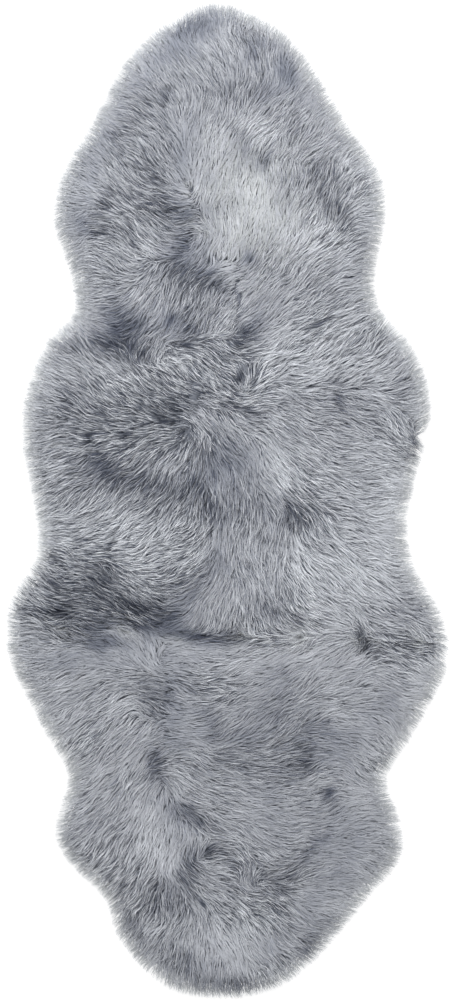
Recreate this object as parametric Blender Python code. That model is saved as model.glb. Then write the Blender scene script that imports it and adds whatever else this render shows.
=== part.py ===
"""Double sheepskin rug, made of two wool pelts that are sewn rump to rump and lie flat, wool up.

Each pelt is one closed solid that takes in its skin and its wool: a flat underside on the floor,
an outline with the bulges of legs and belly, a rounded rim where the wool hangs over the edge of
the skin, a softly uneven top, and a low valley beside the seam. Metres, +Z up, +Y towards the
neck of the long pelt, origin on the floor under the middle of the rug's box.
"""

import math

import bmesh
import bpy

# Driving dimensions, in metres.
RUG_LENGTH = 1.800  # neck to neck, over the wool
WOOL_DEPTH = 0.046  # skin and wool together, where the wool stands fullest
RIM_DEPTH = 0.007  # wool at the outline, where it hangs down to the floor
SHOULDER = 0.075  # how far in from the outline the wool reaches its full depth
SHOULDER_POWER = 2.3  # 2 gives a round shoulder, more gives a squarer one
SEAM_GAP = 0.0003  # between the two cut edges that the seam pulls together
SEAM_Y = -0.243  # where the seam crosses the middle line
SEAM_SLOPE = -0.037  # the seam runs slightly askew
SEAM_SKEW_REACH = 0.30  # rows this far from the seam are square to the rug again
VALLEY_SHARE = 0.24  # how much of the wool's depth is lost at the seam
VALLEY_REACH = 0.045  # half-width of that valley

# Outline of each pelt over its wool. Rows run from the seam to the neck.
# y is along the rug, left and right are the two edges there.
LONG_PELT_ROWS = [
    {"at": "seam", "y": SEAM_Y + SEAM_GAP / 2, "left": -0.396, "right": 0.396},
    {"at": "hind legs", "y": -0.190, "left": -0.385, "right": 0.380},
    {"at": "flank", "y": -0.120, "left": -0.344, "right": 0.337},
    {"at": "waist", "y": -0.045, "left": -0.339, "right": 0.320},
    {"at": "lower belly", "y": 0.045, "left": -0.356, "right": 0.337},
    {"at": "belly", "y": 0.140, "left": -0.368, "right": 0.363},
    {"at": "upper belly", "y": 0.220, "left": -0.352, "right": 0.358},
    {"at": "armpit edge", "y": 0.290, "left": -0.318, "right": 0.322},
    {"at": "armpit", "y": 0.330, "left": -0.276, "right": 0.283},
    {"at": "behind forelegs", "y": 0.370, "left": -0.269, "right": 0.264},
    {"at": "foreleg root", "y": 0.435, "left": -0.285, "right": 0.266},
    {"at": "forelegs", "y": 0.515, "left": -0.310, "right": 0.282},
    {"at": "shoulder", "y": 0.595, "left": -0.292, "right": 0.272},
    {"at": "neck root", "y": 0.690, "left": -0.236, "right": 0.207},
    {"at": "neck", "y": 0.780, "left": -0.190, "right": 0.153},
    {"at": "nape", "y": 0.845, "left": -0.132, "right": 0.103},
    {"at": "neck end", "y": 0.882, "left": -0.073, "right": 0.037},
]
SHORT_PELT_ROWS = [
    {"at": "seam", "y": SEAM_Y - SEAM_GAP / 2, "left": -0.396, "right": 0.396},
    {"at": "hind legs", "y": -0.295, "left": -0.391, "right": 0.393},
    {"at": "hip", "y": -0.350, "left": -0.366, "right": 0.367},
    {"at": "flank", "y": -0.430, "left": -0.322, "right": 0.324},
    {"at": "waist", "y": -0.505, "left": -0.281, "right": 0.283},
    {"at": "forelegs", "y": -0.595, "left": -0.308, "right": 0.311},
    {"at": "shoulder", "y": -0.655, "left": -0.282, "right": 0.305},
    {"at": "neck root", "y": -0.720, "left": -0.217, "right": 0.248},
    {"at": "neck", "y": -0.790, "left": -0.194, "right": 0.193},
    {"at": "nape", "y": -0.850, "left": -0.143, "right": 0.133},
    {"at": "neck end", "y": -0.885, "left": -0.096, "right": 0.078},
]

# Slow swells of the wool's top: wave length along x and y, phase, and share of the depth.
SWELLS = [
    {"across": 0.46, "along": 0.61, "phase": 0.4, "share": 0.045},
    {"across": 0.27, "along": -0.38, "phase": 2.1, "share": 0.035},
    {"across": -0.19, "along": 0.23, "phase": 4.0, "share": 0.025},
]

STEPS_PER_ROW = 3  # rows of the mesh between two rows of a table
ACROSS = 20  # columns of the mesh from edge to edge
SHARP_ANGLE = math.radians(50)  # the wool's top is shaded smooth, its rim and cut edge aren't


def smooth_value(before, start, end, after, part):
    """Catmull-Rom value between start and end, part running from 0 to 1."""
    return 0.5 * (
        2 * start
        + (end - before) * part
        + (2 * before - 5 * start + 4 * end - after) * part**2
        + (3 * start - before - 3 * end + after) * part**3
    )


def smooth_rows(rows):
    """The table's rows with STEPS_PER_ROW smooth steps between each two, closed by a round neck tip."""
    last = rows[-1]
    tip_x = (last["left"] + last["right"]) / 2
    tip_y = math.copysign(RUG_LENGTH / 2, last["y"])
    first, second = rows[0], rows[1]
    points = [(row["y"], row["left"], row["right"]) for row in rows]
    # The seam's edges run on as they came, and past the tip the two sides change places.
    ahead = (2 * first["y"] - second["y"], first["left"], first["right"])
    tip = (tip_y, tip_x, tip_x)
    beyond = (last["y"], last["right"], last["left"])
    knots = [ahead, *points, tip, beyond]
    smooth = []
    for i in range(1, len(knots) - 2):
        four_rows = knots[i - 1 : i + 3]
        for step in range(STEPS_PER_ROW):
            part = step / STEPS_PER_ROW
            smooth.append([smooth_value(*column, part) for column in zip(*four_rows)])
    smooth.append(tip)
    return smooth


def skewed(x, y):
    """y of a point, moved so that rows near the seam run along it."""
    nearness = max(0.0, 1 - abs(y - SEAM_Y) / SEAM_SKEW_REACH)
    return y + SEAM_SLOPE * x * nearness


def outline_of(rows):
    """The pelt's edge over its wool, from the seam's left end round the neck to its right end."""
    left = [(x_left, skewed(x_left, y)) for y, x_left, _ in rows]
    right = [(x_right, skewed(x_right, y)) for y, _, x_right in rows[:-1]]
    return left + right[::-1]


def distance_to(outline, x, y):
    """How far a point lies inside the edge, which is an open line: the seam isn't part of it."""
    nearest = math.inf
    for (ax, ay), (bx, by) in zip(outline, outline[1:]):
        dx, dy = bx - ax, by - ay
        length2 = dx * dx + dy * dy
        part = min(1.0, max(0.0, ((x - ax) * dx + (y - ay) * dy) / length2))
        nearest = min(nearest, math.hypot(x - ax - part * dx, y - ay - part * dy))
    return nearest


def wool_top(outline, x, y):
    """Height of the wool's top over the floor, which is WOOL_DEPTH at the most."""
    inward = min(1.0, distance_to(outline, x, y) / SHOULDER)
    shoulder = (1 - (1 - inward) ** SHOULDER_POWER) ** (1 / SHOULDER_POWER)
    from_seam = abs(y - SEAM_Y - SEAM_SLOPE * x)
    valley = VALLEY_SHARE * math.exp(-((from_seam / VALLEY_REACH) ** 2))
    swell, most_swell = 0.0, 0.0
    for wave in SWELLS:
        turns = x / wave["across"] + y / wave["along"]
        swell += wave["share"] * math.sin(2 * math.pi * turns + wave["phase"])
        most_swell += wave["share"]
    evenness = (1 + swell * inward) / (1 + most_swell)
    return RIM_DEPTH + (WOOL_DEPTH - RIM_DEPTH) * shoulder * (1 - valley) * evenness


def wool_material():
    """Dyed wool: cool light grey, matt."""
    wool = bpy.data.materials.new("grey_wool")
    wool.use_nodes = True
    shader = wool.node_tree.nodes["Principled BSDF"]
    shader.inputs["Base Color"].default_value = (0.40, 0.42, 0.46, 1)
    shader.inputs["Roughness"].default_value = 0.85
    shader.inputs["Metallic"].default_value = 0.0
    return wool


def make_pelt(name, table, material):
    """One pelt as a closed body: a grid over its top, a low rim wall, the cut edge and a flat underside."""
    rows = smooth_rows(table)
    outline = outline_of(rows)
    mesh = bmesh.new()
    top, rim = [], []
    for y, x_left, x_right in rows[:-1]:
        across_row = []
        for k in range(ACROSS + 1):
            share = 0.5 - 0.5 * math.cos(math.pi * k / ACROSS)
            x = x_left + (x_right - x_left) * share
            y_here = skewed(x, y)
            across_row.append(mesh.verts.new((x, y_here, wool_top(outline, x, y_here))))
        top.append(across_row)
    tip_y, tip_x, _ = rows[-1]
    tip = mesh.verts.new((tip_x, tip_y, RIM_DEPTH))

    for near, far in zip(top, top[1:]):
        for k in range(ACROSS):
            mesh.faces.new((near[k], near[k + 1], far[k + 1], far[k]))
    for k in range(ACROSS):
        mesh.faces.new((top[-1][k], top[-1][k + 1], tip))

    # The wall goes round the seam edge, up the right side, over the tip and down the left side.
    edge = top[0] + [row[-1] for row in top[1:]] + [tip] + [row[0] for row in top[:0:-1]]
    for vert in edge:
        rim.append(mesh.verts.new((vert.co.x, vert.co.y, 0)))
    for i, vert in enumerate(edge):
        following = (i + 1) % len(edge)
        mesh.faces.new((vert, rim[i], rim[following], edge[following]))
    mesh.faces.new(rim)
    bmesh.ops.recalc_face_normals(mesh, faces=mesh.faces)

    data = bpy.data.meshes.new(name)
    mesh.to_mesh(data)
    mesh.free()
    data.materials.append(material)
    data.shade_smooth()
    data.set_sharp_from_angle(angle=SHARP_ANGLE)
    pelt = bpy.data.objects.new(name, data)
    bpy.context.scene.collection.objects.link(pelt)
    return pelt


for old in list(bpy.data.objects):
    bpy.data.objects.remove(old)

grey_wool = wool_material()
make_pelt("long_pelt", LONG_PELT_ROWS, grey_wool)
make_pelt("short_pelt", SHORT_PELT_ROWS, grey_wool)
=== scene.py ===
"""Looks of a double sheepskin rug: two dyed long-wool pelts, sewn rump to rump and lying wool up.

Metres, +Z up, +Y towards the neck of the long pelt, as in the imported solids. Each section is one piece or
group of like pieces, in the order in which the rug is put together: skins, seam, under-wool, locks.
"""

import math
from collections import namedtuple

import bpy
import numpy as np
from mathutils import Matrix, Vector
from mathutils.bvhtree import BVHTree


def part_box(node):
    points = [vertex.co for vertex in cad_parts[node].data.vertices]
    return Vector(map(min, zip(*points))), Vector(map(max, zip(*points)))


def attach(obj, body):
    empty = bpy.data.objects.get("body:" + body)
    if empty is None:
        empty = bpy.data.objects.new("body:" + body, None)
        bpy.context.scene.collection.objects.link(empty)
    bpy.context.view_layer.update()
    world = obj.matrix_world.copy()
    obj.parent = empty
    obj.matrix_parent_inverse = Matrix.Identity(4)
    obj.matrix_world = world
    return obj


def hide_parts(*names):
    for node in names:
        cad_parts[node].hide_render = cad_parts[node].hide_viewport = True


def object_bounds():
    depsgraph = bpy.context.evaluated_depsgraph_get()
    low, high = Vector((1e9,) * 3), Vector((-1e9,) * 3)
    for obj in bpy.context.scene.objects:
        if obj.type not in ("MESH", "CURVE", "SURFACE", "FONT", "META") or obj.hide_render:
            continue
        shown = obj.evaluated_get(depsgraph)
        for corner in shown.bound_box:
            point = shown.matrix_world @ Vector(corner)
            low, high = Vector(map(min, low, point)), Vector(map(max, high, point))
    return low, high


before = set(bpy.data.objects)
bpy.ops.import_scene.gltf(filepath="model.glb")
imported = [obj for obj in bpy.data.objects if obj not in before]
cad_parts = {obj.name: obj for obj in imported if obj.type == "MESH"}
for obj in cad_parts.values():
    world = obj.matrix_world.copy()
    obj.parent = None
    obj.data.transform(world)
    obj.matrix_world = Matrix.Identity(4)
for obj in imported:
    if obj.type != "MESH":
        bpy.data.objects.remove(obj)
cad_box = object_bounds()


# ---------------------------------------------------------------------------------------------------
# Skins. The tanned skin of each pelt is a sheet about 2 mm thick, cut back from the tips of its wool so
# that the wool hides its edge. Its napped flesh side lies on the floor. The wool's own reach and depth
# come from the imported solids, as two maps that every later piece reads too.

MAP_STEP = 0.004  # from point to point of each map
MAP_MARGIN = 0.064  # of each map round the rug
MAP_END = 1.001  # steps before the end of a row of a map, up to which places are looked up
RIM_PARTS = 40  # in which the rim is gone through, to spare memory
SCAN_POINTS = 800  # across the rug, to find where a row begins and ends
SKIN_INSET = 0.016  # from the wool's tips to the cut edge of the skin
SKIN_THICKNESS = 0.0018
SKIN_LIFT = 0.0009  # room under the skin for the seam's thread
SKIN_RIPPLE = 0.0003
RIPPLES = {"across": 31, "along": 23, "phase": 1.3}  # radians a metre, and radians
SKIN_ROWS_EVERY = 0.012
SKIN_COLUMNS = 30
SKIN_SHARP_ANGLE = math.radians(40)
CUT_GAP = 0.0003  # between the two cut edges at the seam
SEAM_SKEW_REACH = 0.30  # rows this far from the seam are square to the rug again
SUEDE_DARK = (0.46, 0.44, 0.41)
SUEDE_LIGHT = (0.66, 0.64, 0.60)
PELTS = ("long_pelt", "short_pelt")

map_x = np.arange(cad_box[0].x - MAP_MARGIN, cad_box[1].x + MAP_MARGIN, MAP_STEP)
map_y = np.arange(cad_box[0].y - MAP_MARGIN, cad_box[1].y + MAP_MARGIN, MAP_STEP)
long_low, long_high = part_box("long_pelt")
short_low, short_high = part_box("short_pelt")
seam_y = (long_low.y + short_high.y) / 2
seam_slope = (long_low.y - short_high.y) / (long_high.x - long_low.x)


def depth_of(pelt):
    """Map of the height of a pelt's solid over the floor, and 0 outside it."""
    tree = BVHTree.FromObject(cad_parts[pelt], bpy.context.evaluated_depsgraph_get())
    depth = np.zeros((len(map_y), len(map_x)))
    down = Vector((0, 0, -1))
    for i, y in enumerate(map_y):
        for j, x in enumerate(map_x):
            hit = tree.ray_cast(Vector((x, y, 1)), down)[0]
            if hit:
                depth[i, j] = hit.z
    return depth


def distance_inside(inside):
    """Map of how far each place lies inside the wool's edge, negative outside it."""
    core = inside.copy()
    core[1:-1, 1:-1] &= inside[:-2, 1:-1] & inside[2:, 1:-1] & inside[1:-1, :-2] & inside[1:-1, 2:]
    rim_row, rim_column = np.nonzero(inside & ~core)
    nearest = np.full(inside.shape, np.inf)
    for part in np.array_split(np.arange(len(rim_row)), RIM_PARTS):
        away = np.hypot(
            map_x[None, :, None] - map_x[rim_column[part]],
            map_y[:, None, None] - map_y[rim_row[part]],
        )
        nearest = np.minimum(nearest, away.min(2))
    return np.where(inside, nearest + MAP_STEP / 2, -nearest + MAP_STEP / 2)


def at(chart, x, y):
    """A map's values at places between its points."""
    u = np.clip((x - map_x[0]) / MAP_STEP, 0, len(map_x) - MAP_END)
    v = np.clip((y - map_y[0]) / MAP_STEP, 0, len(map_y) - MAP_END)
    column, row = u.astype(int), v.astype(int)
    right, up = u - column, v - row
    low = chart[row, column] * (1 - right) + chart[row, column + 1] * right
    high = chart[row + 1, column] * (1 - right) + chart[row + 1, column + 1] * right
    return low * (1 - up) + high * up


def rows_of(pelt, inset, every, columns):
    """Places on a pelt, in rows from the seam to the neck, that keep a distance to the wool's edge."""
    to_neck = 1 if pelt == "long_pelt" else -1
    neck_end = long_high.y if pelt == "long_pelt" else short_low.y
    scan = np.linspace(cad_box[0].x, cad_box[1].x, SCAN_POINTS)
    rows = []
    for y in np.arange(seam_y + to_neck * CUT_GAP / 2, neck_end, to_neck * every):
        nearness = max(0.0, 1 - abs(y - seam_y) / SEAM_SKEW_REACH)
        kept = scan[at(edge_distance, scan, y + seam_slope * scan * nearness) > inset]
        if len(kept) < 3:
            break
        x = np.linspace(kept[0], kept[-1], columns + 1)
        rows.append(np.stack([x, y + seam_slope * x * nearness], 1))
    return np.array(rows)


def ladder_faces(rows, columns, flipped):
    """Faces of a sheet of rows by columns of places."""
    faces = []
    for i in range(rows - 1):
        for j in range(columns - 1):
            a = i * columns + j
            face = (a, a + 1, a + columns + 1, a + columns)
            faces.append(face[::-1] if flipped else face)
    return faces


def start_material(name):
    """A new material with its nodes, its links and its shader."""
    material = bpy.data.materials.new(name)
    material.use_nodes = True
    nodes = material.node_tree.nodes
    return material, nodes, material.node_tree.links, nodes["Principled BSDF"]


def grain_group():
    """Random spots that lie still on the piece, as a share from 0 to 1 and as a fine relief."""
    group = bpy.data.node_groups.new("grain", "ShaderNodeTree")
    for name in ("Scale", "Detail", "Strength", "Distance"):
        group.interface.new_socket(name, in_out="INPUT", socket_type="NodeSocketFloat")
    group.interface.new_socket("Share", in_out="OUTPUT", socket_type="NodeSocketFloat")
    group.interface.new_socket("Normal", in_out="OUTPUT", socket_type="NodeSocketVector")
    nodes, links = group.nodes, group.links
    inside, outside = nodes.new("NodeGroupInput"), nodes.new("NodeGroupOutput")
    place = nodes.new("ShaderNodeTexCoord")
    spots = nodes.new("ShaderNodeTexNoise")
    relief = nodes.new("ShaderNodeBump")
    links.new(place.outputs["Object"], spots.inputs["Vector"])
    links.new(spots.outputs["Fac"], relief.inputs["Height"])
    for name, node in (("Scale", spots), ("Detail", spots), ("Strength", relief), ("Distance", relief)):
        links.new(inside.outputs[name], node.inputs[name])
    links.new(spots.outputs["Fac"], outside.inputs["Share"])
    links.new(relief.outputs["Normal"], outside.inputs["Normal"])
    return group


grain = grain_group()


def place_group(nodes, group, values):
    """A node group in a material, with that material's own values."""
    placed = nodes.new("ShaderNodeGroup")
    placed.node_tree = group
    for name, value in values.items():
        placed.inputs[name].default_value = value
    return placed


def add_tint(nodes, links, shader, share, dark, light):
    """Colour of the surface, which runs from dark to light with a share."""
    tint = nodes.new("ShaderNodeMix")
    tint.data_type = "RGBA"
    tint.inputs["A"].default_value = (*dark, 1)
    tint.inputs["B"].default_value = (*light, 1)
    links.new(share, tint.inputs["Factor"])
    links.new(tint.outputs["Result"], shader.inputs["Base Color"])


def start_piece(name, mesh, material):
    """A mesh as a smooth object of the scene."""
    mesh.materials.append(material)
    mesh.shade_smooth()
    piece = bpy.data.objects.new(name, mesh)
    bpy.context.scene.collection.objects.link(piece)
    return piece


pelt_depths = {pelt: depth_of(pelt) for pelt in PELTS}
wool_depth = np.maximum(pelt_depths["long_pelt"], pelt_depths["short_pelt"])
edge_distance = distance_inside(wool_depth > 0)


def skin_material():
    """Undyed suede: pale warm grey, softly mottled, with a fine nap."""
    material, nodes, links, shader = start_material("skin")
    mottle = place_group(nodes, grain, {"Scale": 28, "Detail": 5})
    add_tint(nodes, links, shader, mottle.outputs["Share"], SUEDE_DARK, SUEDE_LIGHT)
    nap = place_group(nodes, grain, {"Scale": 900, "Detail": 3, "Strength": 0.4, "Distance": 0.0004})
    links.new(nap.outputs["Normal"], shader.inputs["Normal"])
    shader.inputs["Roughness"].default_value = 0.95
    return material


def underside(x, y):
    """Height of the skins' underside, which ripples slightly."""
    across = np.sin(RIPPLES["across"] * x + RIPPLES["phase"])
    return SKIN_LIFT + SKIN_RIPPLE * (1 + across * np.sin(RIPPLES["along"] * y))


def make_skin(pelt, material):
    """The skin of one pelt, as a closed slab."""
    places = rows_of(pelt, SKIN_INSET, SKIN_ROWS_EVERY, SKIN_COLUMNS)
    rows, columns = places.shape[:2]
    flat = places.reshape(-1, 2)
    low = np.column_stack([flat, underside(flat[:, 0], flat[:, 1])])
    high = low + (0, 0, SKIN_THICKNESS)
    count = rows * columns
    flipped = pelt == "short_pelt"
    faces = ladder_faces(rows, columns, flipped)
    faces += [tuple(v + count for v in face[::-1]) for face in faces]
    edge = [j for j in range(columns)] + [i * columns + columns - 1 for i in range(1, rows)]
    edge += [(rows - 1) * columns + j for j in range(columns - 2, -1, -1)]
    edge += [i * columns for i in range(rows - 2, 0, -1)]
    for a, b in zip(edge, edge[1:] + edge[:1]):
        face = (b, a, a + count, b + count)
        faces.append(face[::-1] if flipped else face)
    mesh = bpy.data.meshes.new(pelt + "_skin")
    mesh.from_pydata(np.vstack([high, low]).tolist(), [], faces)
    skin = start_piece(pelt + "_skin", mesh, material)
    mesh.set_sharp_from_angle(angle=SKIN_SHARP_ANGLE)
    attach(skin, "root")
    return skin


suede = skin_material()
skins = {pelt: make_skin(pelt, suede) for pelt in PELTS}


# ---------------------------------------------------------------------------------------------------
# Seam. The cut edges of the two skins lie against each other and are overcast: one waxed thread winds
# round both edges from end to end, and shows on the underside as a row of slanted stitches.

STITCH_EVERY = 0.004
STITCH_REACH = 0.0035  # of each stitch into either skin
THREAD_RADIUS = 0.0003
THREAD_SIDES = 5
THREAD_DARK = (0.36, 0.35, 0.33)
THREAD_LIGHT = (0.56, 0.55, 0.52)
# One turn of the thread: how far across the seam, and whether over the skin (1), through it or under it (-1).
TURN = [
    {"across": 1.0, "over": 0},
    {"across": 0.8, "over": 1},
    {"across": -0.8, "over": 1},
    {"across": -1.0, "over": 0},
    {"across": -0.8, "over": -1},
    {"across": 0.8, "over": -1},
]


def thread_material():
    """Waxed thread: pale grey, twisted from fine yarns."""
    material, nodes, links, shader = start_material("thread")
    place = nodes.new("ShaderNodeTexCoord")
    twist = nodes.new("ShaderNodeTexWave")
    twist.bands_direction = "DIAGONAL"
    twist.inputs["Scale"].default_value = 700
    twist.inputs["Distortion"].default_value = 1.5
    links.new(place.outputs["Object"], twist.inputs["Vector"])
    add_tint(nodes, links, shader, twist.outputs["Fac"], THREAD_DARK, THREAD_LIGHT)
    yarns = nodes.new("ShaderNodeBump")
    yarns.inputs["Strength"].default_value = 0.6
    yarns.inputs["Distance"].default_value = 0.0001
    links.new(twist.outputs["Fac"], yarns.inputs["Height"])
    links.new(yarns.outputs["Normal"], shader.inputs["Normal"])
    shader.inputs["Roughness"].default_value = 0.5
    return material


def thread_path():
    """Points of the thread from the seam's left end to its right end."""
    edge = rows_of("long_pelt", SKIN_INSET, SKIN_ROWS_EVERY, SKIN_COLUMNS)[0]
    turns = int((edge[-1, 0] - edge[0, 0]) / STITCH_EVERY) - 1
    step = np.arange(turns * len(TURN))
    across = np.array([point["across"] for point in TURN])[step % len(TURN)]
    over = np.array([point["over"] for point in TURN])[step % len(TURN)]
    x = edge[0, 0] + STITCH_EVERY * (0.5 + step / len(TURN))
    y = seam_y + seam_slope * x + STITCH_REACH * across
    half_way = SKIN_THICKNESS / 2
    z = underside(x, y) + half_way + over * (half_way + THREAD_RADIUS)
    return np.stack([x, y, np.maximum(z, THREAD_RADIUS)], 1)


def make_seam(material):
    """The thread as one tube."""
    path = thread_path()
    ahead = np.gradient(path, axis=0)
    ahead /= np.linalg.norm(ahead, axis=1, keepdims=True)
    side = np.cross(ahead, (1.0, 0.0, 0.0))
    side /= np.linalg.norm(side, axis=1, keepdims=True)
    up = np.cross(ahead, side)
    verts, faces = [], []
    for i, centre in enumerate(path):
        for k in range(THREAD_SIDES):
            angle = 2 * math.pi * k / THREAD_SIDES
            verts.append(centre + THREAD_RADIUS * (math.cos(angle) * side[i] + math.sin(angle) * up[i]))
            after = (k + 1) % THREAD_SIDES
            if i:
                here, back = i * THREAD_SIDES, (i - 1) * THREAD_SIDES
                faces.append((back + k, back + after, here + after, here + k))
    faces.append(tuple(range(THREAD_SIDES))[::-1])
    faces.append(tuple(range(len(verts) - THREAD_SIDES, len(verts))))
    mesh = bpy.data.meshes.new("seam_thread")
    mesh.from_pydata([vert.tolist() for vert in verts], [], faces)
    seam = start_piece("seam_thread", mesh, material)
    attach(seam, "root")


make_seam(thread_material())


# ---------------------------------------------------------------------------------------------------
# Under-wool. Between the skin and the tips of the locks the wool is dense and matted. It closes every
# gap between the locks, so that only darker wool, painted as shade, shows there, and never the skin.

UNDERWOOL_INSET = 0.018
UNDERWOOL_EVERY = 0.010
UNDERWOOL_COLUMNS = 64
UNDERWOOL_SHARE = 0.66  # of the wool's whole depth
UNDERWOOL_SHOULDER = 0.040
UNDERWOOL_FLOOR = SKIN_LIFT + SKIN_THICKNESS + 0.001  # height of its lower edge, on the skin
LUMPS = [
    {"size": 0.02, "much": 0.07, "seed": 11},
    {"size": 0.009, "much": 0.05, "seed": 12},
]
LATTICE = 256  # random values along each side, after which they come again
LATTICE_START = 1000  # where the middle of the rug lies in the lattice
# Colours of dyed wool from its darkest tone, 0, to its lightest, 1.
DYE = {
    0.0: (0.063, 0.074, 0.113),
    0.25: (0.191, 0.208, 0.251),
    0.5: (0.401, 0.416, 0.454),
    0.75: (0.642, 0.663, 0.705),
    1.0: (0.892, 0.913, 0.948),
}
LESS_DYE_AND_GLOW = (1, 1.005, 0.96)  # how much warmer the less dyed wool and the rim's painted glow are
ROOT_SHADE = (0.95, 1.0, 1.09)  # the shade at the roots is bluer than the wool
ROOT_LIGHT = 0.35  # how much of the light reaches the roots
SHADE_ENDS = (0.1, 0.85)  # where the roots' shade begins to fade and where it ends, from root 0 to tip 1


def soft_noise(x, y, size, seed):
    """Smooth random values from -1 to 1 that change over about that size."""
    lattice = np.random.default_rng(seed).uniform(-1, 1, (LATTICE, LATTICE))
    u, v = x / size + LATTICE_START, y / size + LATTICE_START
    column, row = np.floor(u).astype(int), np.floor(v).astype(int)
    right, up = u - column, v - row
    right, up = right * right * (3 - 2 * right), up * up * (3 - 2 * up)
    column, row = column % LATTICE, row % LATTICE
    next_column, next_row = (column + 1) % LATTICE, (row + 1) % LATTICE
    low = lattice[row, column] * (1 - right) + lattice[row, next_column] * right
    high = lattice[next_row, column] * (1 - right) + lattice[next_row, next_column] * right
    return low * (1 - up) + high * up


def add_noises(start, noises, x, y):
    """A value with all the smooth random values of a table added to it."""
    total = start
    for noise in noises:
        total = total + noise["much"] * soft_noise(x, y, noise["size"], noise["seed"])
    return total


def wool_group():
    """Colour of wool from its tone, its place from root to tip, the painted shade at its root and its pale
    tint.
    """
    group = bpy.data.node_groups.new("wool colour", "ShaderNodeTree")
    for name in ("Tone", "Along", "Root", "Pale"):
        group.interface.new_socket(name, in_out="INPUT", socket_type="NodeSocketFloat")
    group.interface.new_socket("Color", in_out="OUTPUT", socket_type="NodeSocketColor")
    nodes, links = group.nodes, group.links
    inside, outside = nodes.new("NodeGroupInput"), nodes.new("NodeGroupOutput")
    dye = nodes.new("ShaderNodeValToRGB")
    steps = dye.color_ramp.elements
    steps[0].color, steps[1].color = (*DYE[0.0], 1), (*DYE[1.0], 1)
    for tone in list(DYE)[1:-1]:
        steps.new(tone).color = (*DYE[tone], 1)
    links.new(inside.outputs["Tone"], dye.inputs["Fac"])
    less_dye_and_glow = nodes.new("ShaderNodeMix")
    less_dye_and_glow.data_type, less_dye_and_glow.blend_type = "RGBA", "MULTIPLY"
    less_dye_and_glow.inputs["B"].default_value = (*LESS_DYE_AND_GLOW, 1)
    links.new(inside.outputs["Pale"], less_dye_and_glow.inputs["Factor"])
    links.new(dye.outputs["Color"], less_dye_and_glow.inputs["A"])
    rise = nodes.new("ShaderNodeMapRange")
    rise.interpolation_type = "SMOOTHSTEP"
    rise.inputs["From Min"].default_value, rise.inputs["From Max"].default_value = SHADE_ENDS
    links.new(inside.outputs["Along"], rise.inputs["Value"])
    deep = nodes.new("ShaderNodeVectorMath")
    deep.operation = "SCALE"
    deep.inputs[0].default_value = ROOT_SHADE
    links.new(inside.outputs["Root"], deep.inputs["Scale"])
    veil = nodes.new("ShaderNodeMix")
    veil.data_type = "RGBA"
    veil.inputs["B"].default_value = (1, 1, 1, 1)
    links.new(rise.outputs["Result"], veil.inputs["Factor"])
    links.new(deep.outputs["Vector"], veil.inputs["A"])
    shaded = nodes.new("ShaderNodeVectorMath")
    shaded.operation = "MULTIPLY"
    links.new(less_dye_and_glow.outputs["Result"], shaded.inputs[0])
    links.new(veil.outputs["Result"], shaded.inputs[1])
    links.new(shaded.outputs["Vector"], outside.inputs["Color"])
    return group


wool_colour = wool_group()


def underwool_material():
    """Matted wool, painted dark as the shade between the locks, with a fine crimp."""
    material, nodes, links, shader = start_material("underwool")
    tufts = place_group(nodes, grain, {"Scale": 150, "Detail": 4, "Strength": 0.8, "Distance": 0.002})
    links.new(tufts.outputs["Normal"], shader.inputs["Normal"])
    # Painted shade: its tone runs well below the locks' tone, and it takes the roots' painted shade.
    tone = nodes.new("ShaderNodeMapRange")
    tone.inputs["To Min"].default_value = 0.12
    tone.inputs["To Max"].default_value = 0.5
    links.new(tufts.outputs["Share"], tone.inputs["Value"])
    colour = place_group(nodes, wool_colour, {"Along": 0.4, "Root": ROOT_LIGHT})
    links.new(tone.outputs["Result"], colour.inputs["Tone"])
    links.new(colour.outputs["Color"], shader.inputs["Base Color"])
    shader.inputs["Roughness"].default_value = 0.9
    return material


def make_underwool(pelt, material):
    """The matted wool of one pelt: a crowned top with a skirt down to the skin."""
    places = rows_of(pelt, UNDERWOOL_INSET, UNDERWOOL_EVERY, UNDERWOOL_COLUMNS)
    rows, columns = places.shape[:2]
    x, y = places[..., 0].ravel(), places[..., 1].ravel()
    inward = np.clip((at(edge_distance, x, y) - UNDERWOOL_INSET) / UNDERWOOL_SHOULDER, 0, 1)
    crown = np.sqrt(1 - (1 - inward) ** 2)
    lumps = add_noises(1, LUMPS, x, y)
    top = at(wool_depth, x, y) * UNDERWOOL_SHARE
    z = UNDERWOOL_FLOOR + (top - UNDERWOOL_FLOOR) * crown * lumps
    mesh = bpy.data.meshes.new(pelt + "_underwool")
    faces = ladder_faces(rows, columns, flipped=pelt == "short_pelt")
    mesh.from_pydata(np.column_stack([x, y, z]).tolist(), [], faces)
    underwool = start_piece(pelt + "_underwool", mesh, material)
    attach(underwool, "root")
    return underwool


matted = underwool_material()
underwools = {pelt: make_underwool(pelt, matted) for pelt in PELTS}


# ---------------------------------------------------------------------------------------------------
# Locks. The dyed wool is combed outwards from the middle of each pelt. Its fibres hold together in
# slim, slightly wavy locks that rise from the skin, bend over and lie on each other like shingles.

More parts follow.
